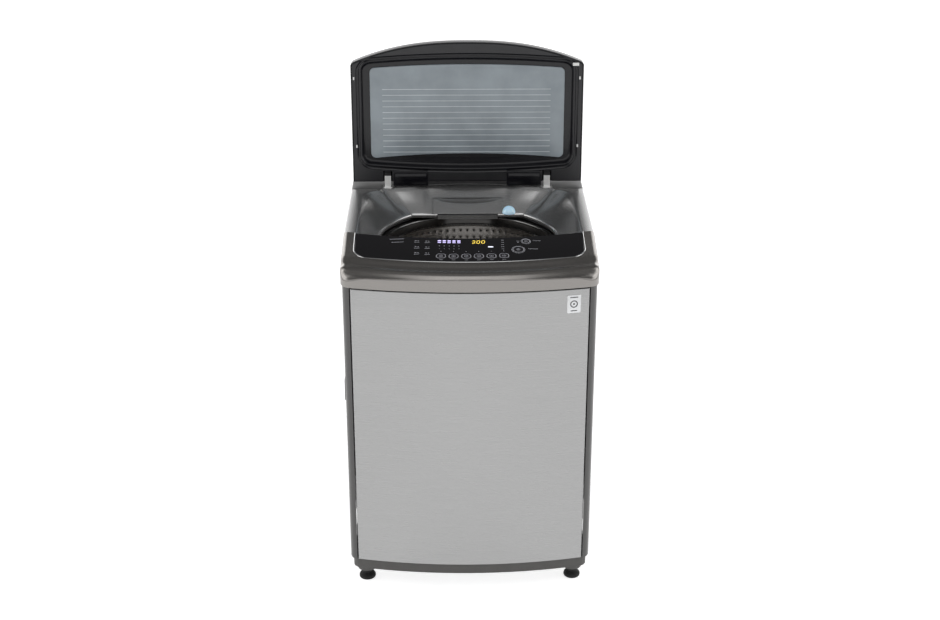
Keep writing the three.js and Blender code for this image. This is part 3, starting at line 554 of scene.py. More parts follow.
def plated(name, grey, roughness):
    look = Look(name, roughness, 1.0)
    look.colours(look.noise(30, 4), tint(grey * 0.96), tint(grey * 1.03))
    look.rough(look.noise(80, 4), max(roughness - 0.02, 0.02), roughness + 0.03)
    look.relief(look.noise(200, 2), 0.004, 0.2)
    return look.material


def lit(name, colour, strength):
    """A glowing display segment, slightly uneven."""
    look = Look(name, 0.3)
    look.colours(look.noise(300, 2), tuple(c * 0.85 for c in colour), colour)
    look.set("Emission Color", (*colour, 1))
    look.set("Emission Strength", strength)
    return look.material


def clear_lens(name):
    look = Look(name, 0.08, 0.0, IOR=1.49, Coat_Weight=0.6, Coat_Roughness=0.05)
    look.colours(look.noise(60, 3), (0.42, 0.68, 0.86), (0.62, 0.84, 0.96))
    look.relief(look.noise(700, 2), 0.01, 0.3)
    look.set("Emission Color", (0.55, 0.80, 1.0, 1))
    look.set("Emission Strength", 0.25)
    look.set("Subsurface Weight", 0.2)
    return look.material


STAINLESS = brushed("stainless", 0.35, 0.26, 0.0, 0.35)
DRUM_STEEL = brushed("drum_steel", 0.62, 0.28, 0.045, 0.3, (1, 1, 40))
GROUND_STEEL = plated("ground_steel", 0.55, 0.25)
ZINC = plated("zinc", 0.45, 0.38)
CAST = plated("cast_aluminium", 0.42, 0.5)
CHROME = plated("chrome", 0.86, 0.07)
CABINET = metallic_paint("cabinet_paint", tint(0.075, 0.01), 0.33, 0.8)
SILVER = metallic_paint("silver_paint", tint(0.46, 0.0), 0.24, 0.85, 0.2)
DECK = metallic_paint("deck_paint", tint(0.10, 0.0), 0.36, 0.5, 0.1)
FASCIA = metallic_paint("fascia_paint", tint(0.24, 0.05), 0.24, 0.9, 0.3)
BLACK_GLASS = glossy("black_glass", (0.0035, 0.003, 0.0045), 0.05, 0.3, 0.001)
BUTTON = glossy("button_black", (0.014, 0.013, 0.016), 0.09, 0.5, 0.002)
LID_GLOSS = glossy("lid_gloss", (0.006, 0.006, 0.008), 0.16, 0.12, 0.004, 0.25)
BORDER = moulded("lid_border", (0.012, 0.012, 0.014), 0.34, 0.01, gloss=0.5)
FRAME_DARK = glossy("lid_frame", (0.006, 0.006, 0.008), 0.22, 0.12, 0.004, 0.35)
PLATE_GREY = glossy("lid_plate", (0.24, 0.275, 0.30), 0.30, 0.35, 0.003)
# A lighter copy of the lid plate's grey for its ridges: a painted highlight along each ridge.
PLATE_RIDGE_HIGHLIGHT = glossy("lid_plate_ridge_highlight", (0.50, 0.54, 0.57), 0.3, 0.2, 0.003)
DARK = moulded("dark_plastic", (0.022, 0.022, 0.023), 0.45)
BASE = moulded("base_plastic", (0.075, 0.073, 0.070), 0.5)
WHITE = moulded("white_plastic", (0.72, 0.72, 0.71), 0.42)
TUB = moulded("tub_plastic", (0.52, 0.54, 0.55), 0.5)
RING = metallic_paint("ring_plastic", tint(0.16, 0.02), 0.14, 0.9, 0.3)
TROUGH = moulded("trough_plastic", (0.008, 0.008, 0.009), 0.8, gloss=0.1)
RUBBER = moulded("rubber", (0.014, 0.014, 0.014), 0.75, 0.05, 0.15, 500)
BOARD = moulded("solder_resist", (0.02, 0.10, 0.04), 0.4)
BADGE = moulded("badge_white", (0.72, 0.73, 0.74), 0.4, 0.004)
# Dark print for the badge, also used for the painted shade of the drawer's slits.
INK_AND_SLIT_SHADE = moulded("ink_and_slit_shade", (0.05, 0.05, 0.055), 0.5, 0.002)
PRINT = moulded("panel_print", (0.42, 0.42, 0.46), 0.5, 0.002)
LENS = clear_lens("lens")
DIGITS = lit("digits_yellow", (1.0, 0.72, 0.10), 1.4)
BLOCKS = lit("blocks_violet", (0.62, 0.55, 0.95), 1.1)
MARKER = lit("marker_white", (0.85, 0.88, 1.0), 0.9)


# ---------------------------------------------------------------- top cover, bowl and hinge deck
RIM = softened(mirrored([(0, -234), (205, -234), (240, -226), (266, -203), (282, -165), (282, 172),
                         (277, 196), (263, 214), (240, 226), (231, 240), (190, 246), (150, 252),
                         (107, 266), (60, 273), (0, 275)]), 14, 5)
RIM_DROP = 27                    # how far the rim dips under the control block
SKIN = 3.6
DECK_SPLIT = 237
ARM_X = 217


def opening_point(angle):
    x, y = OPENING_R * math.cos(angle), TUB_Y + OPENING_R * math.sin(angle)
    if y <= OPENING_CHORD_Y:
        return x, y
    return x * (OPENING_CHORD_Y - TUB_Y) / (y - TUB_Y), OPENING_CHORD_Y


def rim_z(y):
    return DECK_Z - RIM_DROP * smoothstep(112, 121, -y)


def pushed(point, distance):
    """A plan point moved away from the tub's axis."""
    x, y = point
    length = math.hypot(x, y - TUB_Y)
    k = 1 + distance / length
    return x * k, TUB_Y + (y - TUB_Y) * k


def bowl_sag(t, x, y):
    """How far the wall hollows out between rim and opening; none on the flat rear wall."""
    side = 1 - smoothstep(60, 150, y) * (1 - smoothstep(120, 200, abs(x)))
    return 4.5 * side * math.sin(math.pi * t) ** 1.5


def bowl_shape():
    angles = ray_angles(0, TUB_Y, [RIM], 256)
    rim = [crossing(RIM, a, 0, TUB_Y) for a in angles]
    opening = [opening_point(a) for a in angles]

    def level(t, lift):
        ring = []
        for (rx, ry), (ox, oy) in zip(rim, opening):
            top = rim_z(ry)
            z = top + (OPENING_Z - top) * t + lift - bowl_sag(t, rx, ry)
            x, y = rx + (ox - rx) * t, ry + (oy - ry) * t
            if ry > 200:
                level_wall = (1 - smoothstep(97, 125, abs(x))) * smoothstep(0, 0.4, t)
                y += (WALL_TOP_Y + (OPENING_CHORD_Y - WALL_TOP_Y) * t - y) * level_wall
            ring.append((x, y, z))
        return ring

    def around(source, distance, z_of):
        return [(*pushed(p, distance), z_of(p)) for p in source]

    rings = [around(rim, 6, lambda p: rim_z(p[1]) - 3),
             around(rim, 6, lambda p: rim_z(p[1])),
             around(rim, 3.4, lambda p: rim_z(p[1])),
             around(rim, 1.4, lambda p: rim_z(p[1]) - 0.5),
             around(rim, 0, lambda p: rim_z(p[1]) - 1.6)]
    rings += [level(t, 0) for t in (0.07, 0.14, 0.24, 0.36, 0.48, 0.6, 0.72, 0.84, 0.93)]
    lip = [(1.6, 0.6), (0.4, -1.4), (0, -3.4), (0, -7.4), (0.8, -8), (2.4, -8), (3, -7)]
    rings += [around(opening, distance, lambda p: OPENING_Z + lift) for distance, lift in lip]
    rings += [level(t, -SKIN) for t in (0.93, 0.72, 0.48, 0.24, 0.07)]
    return loft(rings, True, True)


def deck_shape():
    """The flat rim round the bowl with the outer skirt, as one closed band all the way round."""
    outer = plan_outline()
    angles = ray_angles(0, TUB_Y, [RIM, outer], 256)
    rim = [crossing(RIM, a, 0, TUB_Y) for a in angles]
    edge = 5
    outlines = {d: plan_outline(-d) for d in (0, 0.8, 1.5, 3, edge)}
    skirts = {d: [crossing(o, a, 0, TUB_Y) for a in angles] for d, o in outlines.items()}

    def at(ring, z):
        return [(x, y, z) for x, y in ring]

    inner = [pushed(p, 6) for p in rim]
    rings = [at(inner, DECK_Z), at(skirts[edge], DECK_Z), at(skirts[1.5], DECK_Z - 1.5),
             at(skirts[0], DECK_Z - edge), at(skirts[0], COVER_LOW_Z + 1), at(skirts[0.8], COVER_LOW_Z),
             at(skirts[3], COVER_LOW_Z), at(skirts[3], DECK_Z - 3.2), at(inner, DECK_Z - 3.2)]
    return loft(rings, True, True)


def unbowed(shape, sign):
    points, faces = shape
    return [(x, y - sign * x * x / (2 * BLOCK_BOW_R), z) for x, y, z in points], faces


def wall_y(z):
    """The y of the bowl's sloping rear wall at a height."""
    return WALL_TOP_Y + (OPENING_CHORD_Y - WALL_TOP_Y) * (DECK_Z - z) / (DECK_Z - OPENING_Z)


def plain_box(x0, x1, y0, y1, z0, z1):
    corners = [(x, y, z) for z in (z0, z1) for x, y in ((x0, y0), (x1, y0), (x1, y1), (x0, y1))]
    return corners, [(3, 2, 1, 0), (4, 5, 6, 7), (0, 1, 5, 4), (1, 2, 6, 5), (2, 3, 7, 6), (3, 0, 4, 7)]


def ball(x, y, z, radius, low):
    """A ball cut off level at a height, for the lens and its seat."""
    steps = 20
    start = math.asin((low - z) / radius)
    profile = [(0, low)]
    for k in range(steps + 1):
        a = start + (math.pi / 2 - start) * k / steps
        profile.append((max(radius * math.cos(a), 0), z + radius * math.sin(a)))
    return lathe(x, y, profile, 48, False)


def arm_slots():
    return [plain_box(s * ARM_X - 16, s * ARM_X + 16, 243.5, 266, 880, 930) for s in (-1, 1)]


def top_cover():
    half, low, high = 94.9, 867.1, 897.9
    window = plain_box(-half, half, 150, 320, low, high)
    spout = plain_box(-82, 82, 150, 260, 840, low + 0.9)
    lens_x = (LENS_LOW.x + LENS_HIGH.x) / 2
    seat = ball(lens_x, 197, OPENING_Z + 3, 18.6, OPENING_Z + 1.6)
    bowl = make("bowl", [(bowl_shape(), SILVER)], "cabinet", ["top_cover"])
    carve(bowl, [window, spout, seat, *arm_slots()])
    straight = unbowed(deck_shape(), 1)
    band = unbowed(sliced(straight, (0, BLOCK_REAR + 0.8, 0), (0, 1, 0)), -1)
    rails = sliced(band, (0, DECK_SPLIT, 0), (0, -1, 0))
    rear = sliced(band, (0, DECK_SPLIT + 1.6, 0), (0, 1, 0))
    trough_x, trough_y, back_y = 203, 268, 331
    middle = sliced(sliced(rear, (-trough_x, 0, 0), (1, 0, 0)), (trough_x, 0, 0), (-1, 0, 0))
    trough = sliced(sliced(middle, (0, trough_y, 0), (0, 1, 0)), (0, back_y, 0), (0, -1, 0))
    back = sliced(middle, (0, back_y, 0), (0, 1, 0))
    front = sliced(middle, (0, trough_y, 0), (0, -1, 0))
    sides = [sliced(rear, (side * trough_x, 0, 0), (side, 0, 0)) for side in (-1, 1)]
    make("cover_rails", [(rails, SILVER)], "cabinet")
    parts = [(shape, DECK) for shape in [*sides, back]] + [(front, SILVER), (trough, TROUGH)]
    deck = make("hinge_deck_fine", parts, "cabinet", ["hinge_deck"])
    carve(deck, [*arm_slots(), plain_box(138, 292, 306, 340, 866, 908)])


# ---------------------------------------------------------------- control block
BLOCK_TOP = through([(-372, 876), (-342, 881), (-335, 885), (-330, 892), (-324, 896), (-318, 898),
                     (-309, 896.5), (-298, 899), (-287, 904.5), (GLASS_FRONT, GLASS_FRONT_Z),
                     (-222, 919), (BLOCK_REAR, FASCIA_HIGH.z)])


def glass_z(s):
    return GLASS_FRONT_Z + (s - GLASS_FRONT) * GLASS_SLOPE


def glass_path(grow, rear, side=18, corner_steps=14, front=80):
    """Half-open outline of the glass, from its rear left end round the front to its rear right end."""
    half, front_s, corner = GLASS_HALF_W + grow, GLASS_FRONT - grow, GLASS_CORNER_R
    turn = math.pi
    path = [(-half, rear + (front_s + corner - rear) * k / side) for k in range(side)]
    path += arc(-half + corner, front_s + corner, corner, turn, 1.5 * turn, corner_steps)
    reach = half - corner
    path += [(-reach + 2 * reach * k / front, front_s) for k in range(1, front)]
    path += arc(half - corner, front_s + corner, corner, 1.5 * turn, 2 * turn, corner_steps)
    path += [(half, front_s + corner + (rear - front_s - corner) * k / side) for k in range(1, side + 1)]
    return [(x, bowed_y(x, s)) for x, s in path]


def block_path(inset, side=18, corner_steps=14, front=80):
    """The control block's outer outline, matched point by point with glass_path."""
    half, radius, corner = COVER_HALF_W - inset, FRONT_BOW_R - inset, CORNER_R - inset
    centre_y = COVER_FRONT + FRONT_BOW_R
    corner_x = half - corner
    corner_y = centre_y - math.sqrt((radius - corner) ** 2 - corner_x ** 2)
    bow = math.atan2(centre_y - corner_y, corner_x)
    rear = bowed_y(half, BLOCK_REAR)
    turn = math.pi
    path = [(-half, rear + (corner_y - rear) * k / side) for k in range(side)]
    path += arc(-corner_x, corner_y, corner, turn, turn + bow, corner_steps)
    path += arc(0, centre_y, radius, turn + bow, 2 * turn - bow, front)[1:-1]
    path += arc(corner_x, corner_y, corner, 2 * turn - bow, 2 * turn, corner_steps)
    path += [(half, corner_y + (rear - corner_y) * k / side) for k in range(1, side + 1)]
    return path


def block_z(x, y):
    return BLOCK_TOP(y - x * x / (2 * BLOCK_BOW_R))


def control_fascia():
    glass = glass_path(0, BLOCK_REAR)
    outer = block_path(0)
    shoulder = 11
    radii = [1.2 + (shoulder - 1.2) * smoothstep(250, 306, abs(x)) for x, _ in outer]
    groove = 0.7

    def inset_ring(share, z_of):
        ring = []
        for k, (x, y) in enumerate(outer):
            inner = insets[k]
            px, py = x + (inner[0] - x) * share, y + (inner[1] - y) * share
            ring.append((px, py, z_of(k, px, py)))
        return ring

    step_in = block_path(shoulder)
    insets = []
    for k, (x, y) in enumerate(outer):
        share = radii[k] / shoulder
        insets.append((x + (step_in[k][0] - x) * share, y + (step_in[k][1] - y) * share))

    base = [block_z(x, y) for x, y in outer]
    thin = block_path(3)
    rings = [[(x, y, COVER_LOW_Z) for x, y in thin],
             [(x, y, COVER_LOW_Z) for x, y in block_path(0.8)],
             [(x, y, COVER_LOW_Z + 0.8) for x, y in outer],
             inset_ring(0, lambda k, x, y: base[k] - radii[k] - 1.6)]
    rings.append([(x, y, base[k] - radii[k] - 1.5) for k, (x, y) in enumerate(block_path(groove))])
    rings.append([(x, y, base[k] - radii[k] - 0.6) for k, (x, y) in enumerate(block_path(groove))])
    for a in (0, 18, 36, 54, 72, 90):
        lean = math.radians(a)
        rings.append(inset_ring(1 - math.cos(lean),
                                lambda k, x, y: block_z(x, y) - radii[k] * (1 - math.sin(lean))))
    steps = 22
    for step in range(1, steps + 1):
        share = step / steps
        ring = []
        for (x0, y0), (x1, y1) in zip(insets, glass):
            x, y = x0 + (x1 - x0) * share, y0 + (y1 - y0) * share
            ring.append((x, y, block_z(x, y)))
        rings.append(ring)
    ledge = glass_path(-6, BLOCK_REAR)
    rings.append([(x, y, block_z(x, y) - 3.3) for x, y in glass])
    rings.append([(x, y, block_z(x, y) - 3.4) for x, y in ledge])
    rings.append([(x, y, block_z(x, y) - 6) for x, y in ledge])
    rings.append([(x, y, min(block_z(x, y) - 6, block_z(x, y) - 3)) for x, y in thin])
    points, faces = loft(rings, False, True)
    band = (points, faces + end_caps(rings))
    columns = 60
    half = GLASS_HALF_W
    rear = []
    for s, z in ((BLOCK_REAR, 905), (BLOCK_REAR, 926.4), (BLOCK_REAR - 3, 925.8), (BLOCK_REAR - 3, 905)):
        xs = [-half + 2 * half * k / columns for k in range(columns + 1)]
        rear.append([(x, bowed_y(x, s), z) for x in xs])
    points, faces = loft(rear, False, True)
    wall = (points, faces + end_caps(rear))
    make("control_fascia_fine", [(band, FASCIA), (wall, FASCIA)], "cabinet",
         ["control_fascia"])


def glass_slab(inset, rear):
    """The glass as columns from its front edge back to its rear edge, with a rounded front edge."""
    half, front_s, corner = GLASS_HALF_W - inset, GLASS_FRONT + inset, GLASS_CORNER_R
    reach = half - corner
    columns = []
    for k in range(15):
        a = math.pi / 2 * k / 14
        columns.append((reach + corner * math.sin(a), front_s + corner - corner * math.cos(a)))
    steps = 80
    flat = [(-reach + 2 * reach * k / steps, front_s) for k in range(1, steps)]
    columns = [(-x, s) for x, s in reversed(columns)] + flat + columns
    sections = []
    for x, s0 in columns:
        section = [(s0, -3), (s0, -0.9), (s0 + 0.12, -0.35), (s0 + 0.5, -0.06), (s0 + 1.2, 0),
                   (rear - 0.9, 0), (rear, -0.7), (rear, -3)]
        sections.append([(x, bowed_y(x, s), glass_z(s) + lift) for s, lift in section])
    return loft(sections, caps=True)


def key_boxes():
    """Each button's name, middle and size, read from its CAD node."""
    found = []
    for node in [f"key_{k}" for k in range(1, 7)] + ["start_button", "power_button"]:
        low, high = box_mm(node)
        found.append((node, (low + high) / 2, high - low))
    return found


def button_line(node):
    """How far in front of the machine's middle a button's row lies, in the block's bowed lines."""
    return {"start_button": -226, "power_button": -190}.get(node, -251)


def on_glass(shape, x, y):
    """A flat shape drawn round the origin, laid on the glass at (x, y)."""
    s = y - x * x / (2 * BLOCK_BOW_R)
    turn = Matrix.Rotation(math.atan(GLASS_SLOPE), 4, "X")
    side = Matrix.Rotation(math.atan(GLASS_SLOPE * x / BLOCK_BOW_R), 4, "Y")
    return moved(shape, Matrix.Translation((x, y, glass_z(s))) @ side @ turn)


def frame_line(outline, width, low, high):
    """A closed line of the given width along an outline."""
    inner = grown(outline, -width)
    rings = [[(x, y, low) for x, y in outline], [(x, y, high) for x, y in outline],
             [(x, y, high) for x, y in inner], [(x, y, low) for x, y in inner]]
    return loft(rings, True, True)


def button_outline(node, size, grow=0.0):
    if node.startswith("key"):
        return rounded_bar(0, 0, 25 + 2 * grow, 22 + 2 * grow, 8 + grow, 8)
    radius = size.x / 2 + grow
    return arc(0, 0, radius, 0, 2 * math.pi * 47 / 48, 47)


PRINT_LOW, PRINT_HIGH = -0.05, 0.07


def bar(width, depth):
    """A printed bar with round ends."""
    return prism(rounded_bar(0, 0, width, depth, min(width, depth) * 0.42, 4), PRINT_LOW, PRINT_HIGH)


def buttons():
    for node, middle, size in key_boxes():
        x = middle.x
        y = bowed_y(x, button_line(node))
        outline = button_outline(node, size)
        cap = on_glass(prism(outline, -6.8, 0.62, 1.0, 4), x, y)
        line = frame_line(grown(outline, -1.1), 1.3, 0.4, 0.72)
        parts = [(cap, BUTTON), (on_glass(line, x, y), PRINT)]
        icon = rounded_bar(0, 0, 9, 8, 2.5, 4) if node.startswith("key") else arc(0, 0, 4.2, 0, 6.02, 23)
        mark = frame_line(icon, 0.9, 0.4, 0.70)
        dot = prism(rounded_bar(0, 0, 2.6, 2.6, 1.2, 4), 0.4, 0.70)
        parts += [(on_glass(mark, x, y), PRINT), (on_glass(dot, x, y), PRINT)]
        make(node + "_cap", parts, node, [node])


SEGMENTS = {"a": (0, 6, 0), "d": (0, -6, 0), "g": (0, 0, 0), "b": (3.4, 3, 1), "c": (3.4, -3, 1),
            "e": (-3.4, -3, 1), "f": (-3.4, 3, 1)}
LIT_SEGMENTS = {3: "abgcd", 0: "abcdef"}


def digit(number, x, s):
    """A seven segment digit on the glass."""
    made = []
    for name in LIT_SEGMENTS[number]:
        dx, dy, upright = SEGMENTS[name]
        shape = bar(1.5, 5.0) if upright else bar(5.0, 1.5)
        shifted = moved(shape, Matrix.Translation((dx + dy * 0.12, dy * 1.1, 0)))
        made.append(on_glass(shifted, x, bowed_y(x, s)))
    return made


def panel_print():
    """Plain bars, dots and rings where a panel carries words and symbols."""
    prints = []

    def put(shape, x, s):
        prints.append((on_glass(shape, x, bowed_y(x, s)), PRINT))

    for x in (-130, -104):
        for s in (-187, -214, -241):
            put(bar(13, 1.6), x, s - 4)
            put(bar(5, 2.4), x - 2.6, s + 2.6)
            put(bar(3, 2.4), x + 3.6, s + 2.6)
    for x, width, s in ((-180, 36, -181), (-178, 30, -195)):
        put(bar(width, 1.7), x, s)
    for k in range(5):
        put(bar(7, 1.5), 82, -180 - 10 * k)
        put(bar(1.8, 3.6), -74 + 12 * k, -204)
        put(bar(1.4, 2.6), -74 + 12 * k, -217)
    for _, middle, _ in key_boxes()[:6]:
        put(bar(9, 1.3), middle.x, -267)
        put(bar(2.2, 2.2), middle.x, -229)
    put(bar(24, 1.6), 156, -226)
    put(bar(20, 1.5), 167, -190)
    put(bar(7, 1.5), 120, -187)
    put(bar(5, 1.5), 120, -193)
    for x, s, radius in ((120, -226, 16.6), (140, -190, 12.4)):
        put(frame_line(arc(0, 0, radius, 0, 2 * math.pi * 59 / 60, 59), 1.0, PRINT_LOW, PRINT_HIGH), x, s)
    make("panel_print", prints, "cabinet")
    numbers = [(shape, DIGITS) for x, n in ((10, 3), (22, 0), (34, 0)) for shape in digit(n, x, -186)]
    make("display_digits", numbers, "cabinet")
    blocks = []
    for k in range(5):
        x = -74 + 12 * k
        blocks.append((on_glass(bar(8.6, 5.4), x, bowed_y(x, -181)), BLOCKS))
        blocks.append((on_glass(bar(8.6, 3.0), x, bowed_y(x, -189)), BLOCKS))
    blocks.append((on_glass(bar(13, 5), 52, bowed_y(52, -209)), MARKER))
    make("display_blocks", blocks, "cabinet")


def control_glass():
    slab = glass_slab(3.4, BLOCK_REAR - 2.2)
    glass = make("control_glass_fine", [(slab, BLACK_GLASS)], "cabinet", ["control_glass"])
    holes = []
    for node, middle, size in key_boxes():
        hole = prism(button_outline(node, size, 0.45), -12, 12)
        holes.append(on_glass(hole, middle.x, bowed_y(middle.x, button_line(node))))
    carve(glass, holes)
    rings = []
    for inset, lift in ((0.3, -3), (0.3, -0.3), (0.6, 0.25), (1.2, 0.6), (2.2, 0.6), (2.8, 0.3), (3.1, -0.3),
                        (3.1, -3)):
        path = glass_path(-inset, BLOCK_REAR - 1)
        rings.append([(x, y, glass_z(y - x * x / (2 * BLOCK_BOW_R)) + lift) for x, y in path])
    points, faces = loft(rings, False, True)
    trim = (points, faces + end_caps(rings))
    make("chrome_trim_fine", [(trim, CHROME)], "cabinet", ["chrome_trim"])


# ---------------------------------------------------------------- lid
HINGE = Vector(next(j for j in frame["joints"] if j["name"] == "lid_hinge")["pos_m"]) / MM
LID = Matrix.Translation(HINGE) @ Matrix.Rotation(-(math.pi / 2 + LID_LEAN), 4, "X")


def recess_outline(half, front, front_bow, rear, rear_bow, corner, steps=40, corner_steps=10):
    """Straight sides, bowed front, and a rear edge bowed towards the hinge."""
    turn = math.pi / 2

    def front_y(x):
        return -front - front_bow + front_bow * (x / half) ** 2

    def rear_y(x):
        return -rear + rear_bow - rear_bow * (x / half) ** 2

    reach = half - corner
    xs = [reach * (1 - 2 * k / steps) for k in range(1, steps)]
    points = arc(reach, rear_y(reach) - corner, corner, 0, turn, corner_steps)
    points += [(x, rear_y(x)) for x in xs]
    points += arc(-reach, rear_y(reach) - corner, corner, turn, 2 * turn, corner_steps)
    points += arc(-reach, front_y(reach) + corner, corner, 2 * turn, 3 * turn, corner_steps)
    points += [(-x, front_y(-x)) for x in xs]
    points += arc(reach, front_y(reach) + corner, corner, 3 * turn, 4 * turn, corner_steps)
    return points


def lid_outline(inset, steps=64):
    """The lid from above, closed: straight sides, tight front corners and a full bow in front."""
    half, reach, corner = LID_HALF_W - inset, LID_SIDE_REACH - inset, LID_CORNER_R - inset
    turn = math.pi / 2 - math.atan(LID_BOW_POWER * LID_BOW / LID_HALF_W)
    corner_y = -reach + corner * math.tan(turn / 2)
    rear = -17 - inset * 0.4
    full = math.pi
    points = [(half, rear), (-half, rear)]
    points += arc(-half + corner, corner_y, corner, full, full + turn, 8)
    end_x = half - corner + corner * math.cos(turn)
    for k in range(1, steps):
        x = -end_x + 2 * end_x * k / steps
        points.append((x, -reach - LID_BOW * (1 - abs(x / half) ** LID_BOW_POWER)))
    points += arc(half - corner, corner_y, corner, 2 * full - turn, 2 * full, 8)
    return points


def arm_notches():
    return [moved(plain_box(s * ARM_X - 12, s * ARM_X + 12, -47, 1, 0, 10.5), LID) for s in (-1, 1)]


def lid_shell():
    """A shallow tray with a rounded outer edge and a slightly raised middle."""
    edge, wall, top = 9, 3, LID_FACE + LID_T
    levels = [(wall, top - wall), (wall, LID_FACE + 0.6), (wall - 0.6, LID_FACE), (0.6, LID_FACE),
              (0, LID_FACE + 0.6), (0, top - edge)]
    rings = [[(x, y, z) for x, y in lid_outline(inset)] for inset, z in levels]
    for k in range(1, 9):
        a = math.pi / 2 * k / 8
        inset = edge * (1 - math.cos(a))
        rings.append([(x, y, top - edge + (edge - 1.2) * math.sin(a)) for x, y in lid_outline(inset)])
    for inset, z in ((10.2, top - 1.3), (11, top - 1.6), (11.8, top - 1.3)):
        rings.append([(x, y, z) for x, y in shrunk(lid_outline(9), inset - 9)])
    for inset, z in ((20, top - 0.9), (45, top - 0.3), (90, top)):
        rings.append([(x, y, z) for x, y in shrunk(lid_outline(9), inset - 9)])
    shell = make("lid_outer_shell_fine", [(moved(loft(rings, caps=True), LID), LID_GLOSS)], "lid",
                 ["lid_outer_shell"])
    carve(shell, arm_notches())


def shrunk(outline, distance):
    """An outline drawn in towards the lid's middle by about a distance."""
    cx, cy = 0, -205
    half, depth = 300, 190
    across, along = 1 - distance / half, 1 - distance / depth
    return [(cx + (x - cx) * across, cy + (y - cy) * along) for x, y in outline]


def lid_frame():
    """The lid's inner face: a flat border, a rolled bead, and the recess for the plate."""
    cx, cy = 0, -205
    border = lid_outline(3.3)
    recess = recess_outline(*RECESS)
    angles = ray_angles(cx, cy, [border, recess], 200)

    def ray(outline, z):
        return [(*crossing(outline, a, cx, cy), z) for a in angles]

    face, floor = LID_FACE + 0.5, LID_FACE + RECESS_DEPTH
    edge = [ray(grown(recess, 2.5), LID_FACE + 4), ray(border, LID_FACE + 4), ray(border, face + 0.8),
            ray(grown(border, -0.8), face), ray(grown(recess, 15), face), ray(grown(recess, 14.6), face + 0.8)]
    rings = [edge[-1]]
    for out, z in ((12.6, 2.6), (10.4, 3.4), (8.6, 3.2), (7.2, 2.2), (6.0, 0.8), (4.8, -0.0), (3.4, -0.3),
                   (2.0, 0.1), (0.9, 1.2), (0.2, 3.0), (-0.4, 6.0), (-1.4, 9.2), (-3.2, 11.6), (-5.6, 12.4),
                   (-9, 12.5)):
        rings.append(ray(grown(recess, out), face + z))
    rings += [ray(grown(recess, -24), floor), ray(grown(recess, -24), floor + 2.5),
              ray(grown(recess, 2.5), floor + 2.5), edge[0]]
    border_points, border_faces = loft(edge, True, False)
    points, faces = loft(rings, True, False)
    shape = moved((points, faces), LID)
    inner = ray(grown(recess, -24.5), floor + 0.2)
    back = ray(grown(recess, -24.5), floor + 2.4)
    floor_plate = moved(loft([inner, back], caps=True), LID)
    border_shape = moved((border_points, border_faces), LID)
    parts = [(shape, FRAME_DARK), (floor_plate, FRAME_DARK), (border_shape, BORDER)]
    for x, y, w, d in ((-303, -302, 3.6, 8), (-299, -116, 3.6, 8), (301, -302, 3.6, 8), (298.5, -116, 3.6, 8)):
        clip = soft_box(x - w / 2, x + w / 2, y - d / 2, y + d / 2, face - 1.1, face + 1, 0.5, 2)
        parts.append((moved(clip, LID), WHITE))
    parts.append((moved(soft_box(281, 298, -343, -334.5, face - 1.0, face + 1, 1.2, 3), LID), WHITE))
    piece = make("lid_inner_frame_fine", parts, "lid", ["lid_inner_frame"])
    carve(piece, arm_notches())


def lid_plate():
    outline = recess_outline(*PLATE)
    face = LID_FACE + RECESS_DEPTH - 4.5
    back = LID_FACE + RECESS_DEPTH - 0.3
    rings = [[(x, y, back) for x, y in outline]]
    edge = 1.6
    for k in range(5):
        a = math.pi / 2 * k / 4
        ring = grown(outline, -edge * (1 - math.cos(a)))
        rings.append([(x, y, face + edge * (1 - math.sin(a))) for x, y in ring])
    parts = [(moved(loft(rings, caps=True), LID), PLATE_GREY)]
    # The ridges take a lighter grey than the plate: painted highlight.
    count = 12
    for k in range(count):
        y = -270.3 + 15.71 * k
        ridge = soft_box(-228, 224, y - 0.95, y + 0.95, face - 0.55, face + 0.4, 0.4, 2)
        parts.append((moved(ridge, LID), PLATE_RIDGE_HIGHLIGHT))
    make("lid_inner_plate_fine", parts, "lid", ["lid_inner_plate"])


def hinge_covers():
    for side, name in ((-1, "left"), (1, "right")):
        x0, x1 = sorted((side * 107, side * 202))
        shell = soft_box(x0, x1, -47, -5, LID_FACE - 2.5, LID_FACE + 3, 2.2, 5)
        rear = soft_box(x0, x1, -16.4, -5, LID_FACE - 2.4, LID_FACE + 20, 1.6, 3)
        panel = soft_box(x0 + 5, x1 - 5, -40, -10, LID_FACE - 2.9, LID_FACE - 1, 0.7, 2)
        parts = [(moved(shape, LID), LID_GLOSS) for shape in (shell, rear, panel)]
        make(f"hinge_cover_{name}_fine", parts, "lid", [f"hinge_cover_{name}"])


def hinge_arms():
    """White ribbed arms on the hinge pins; their dark hooks reach into the lid."""
    for side, name in ((-1, "left"), (1, "right")):
        x0, x1 = side * ARM_X - 8.5, side * ARM_X + 8.5
        parts = [(soft_box(x0, x1, -33.5, -3, 4.0, 7.4, 0.5, 2), WHITE)]
        ribs = 5
        pitch = (x1 - x0) / ribs
        for k in range(ribs):
            rib = soft_box(x0 + k * pitch + 0.5, x0 + (k + 1) * pitch - 0.5, -33, -4, 2.6, 4.6, 0.5, 2)
            parts.append((rib, WHITE))
        eye = lathe(0, 0, [(4.1, 0), (7.2, 0), (7.5, 0.5), (7.5, 16.5), (7.2, 17), (4.1, 17)], 40)
        place = Matrix.Translation((x0, 0, 0)) @ Matrix.Rotation(math.pi / 2, 4, "Y")
        parts.append((moved(eye, place), WHITE))
        for y0, y1, z0, z1 in ((-46.5, -33.5, 3.4, 7.4), (-46.5, -41, 3.4, 16), (-57, -41, 9.4, 16)):
            parts.append((soft_box(x0, x1, y0, y1, z0, z1, 0.6, 2), DARK))
        parts = [(moved(shape, LID), look) for shape, look in parts]
        make(f"hinge_arm_{name}_fine", parts, "lid", [f"hinge_arm_{name}"])


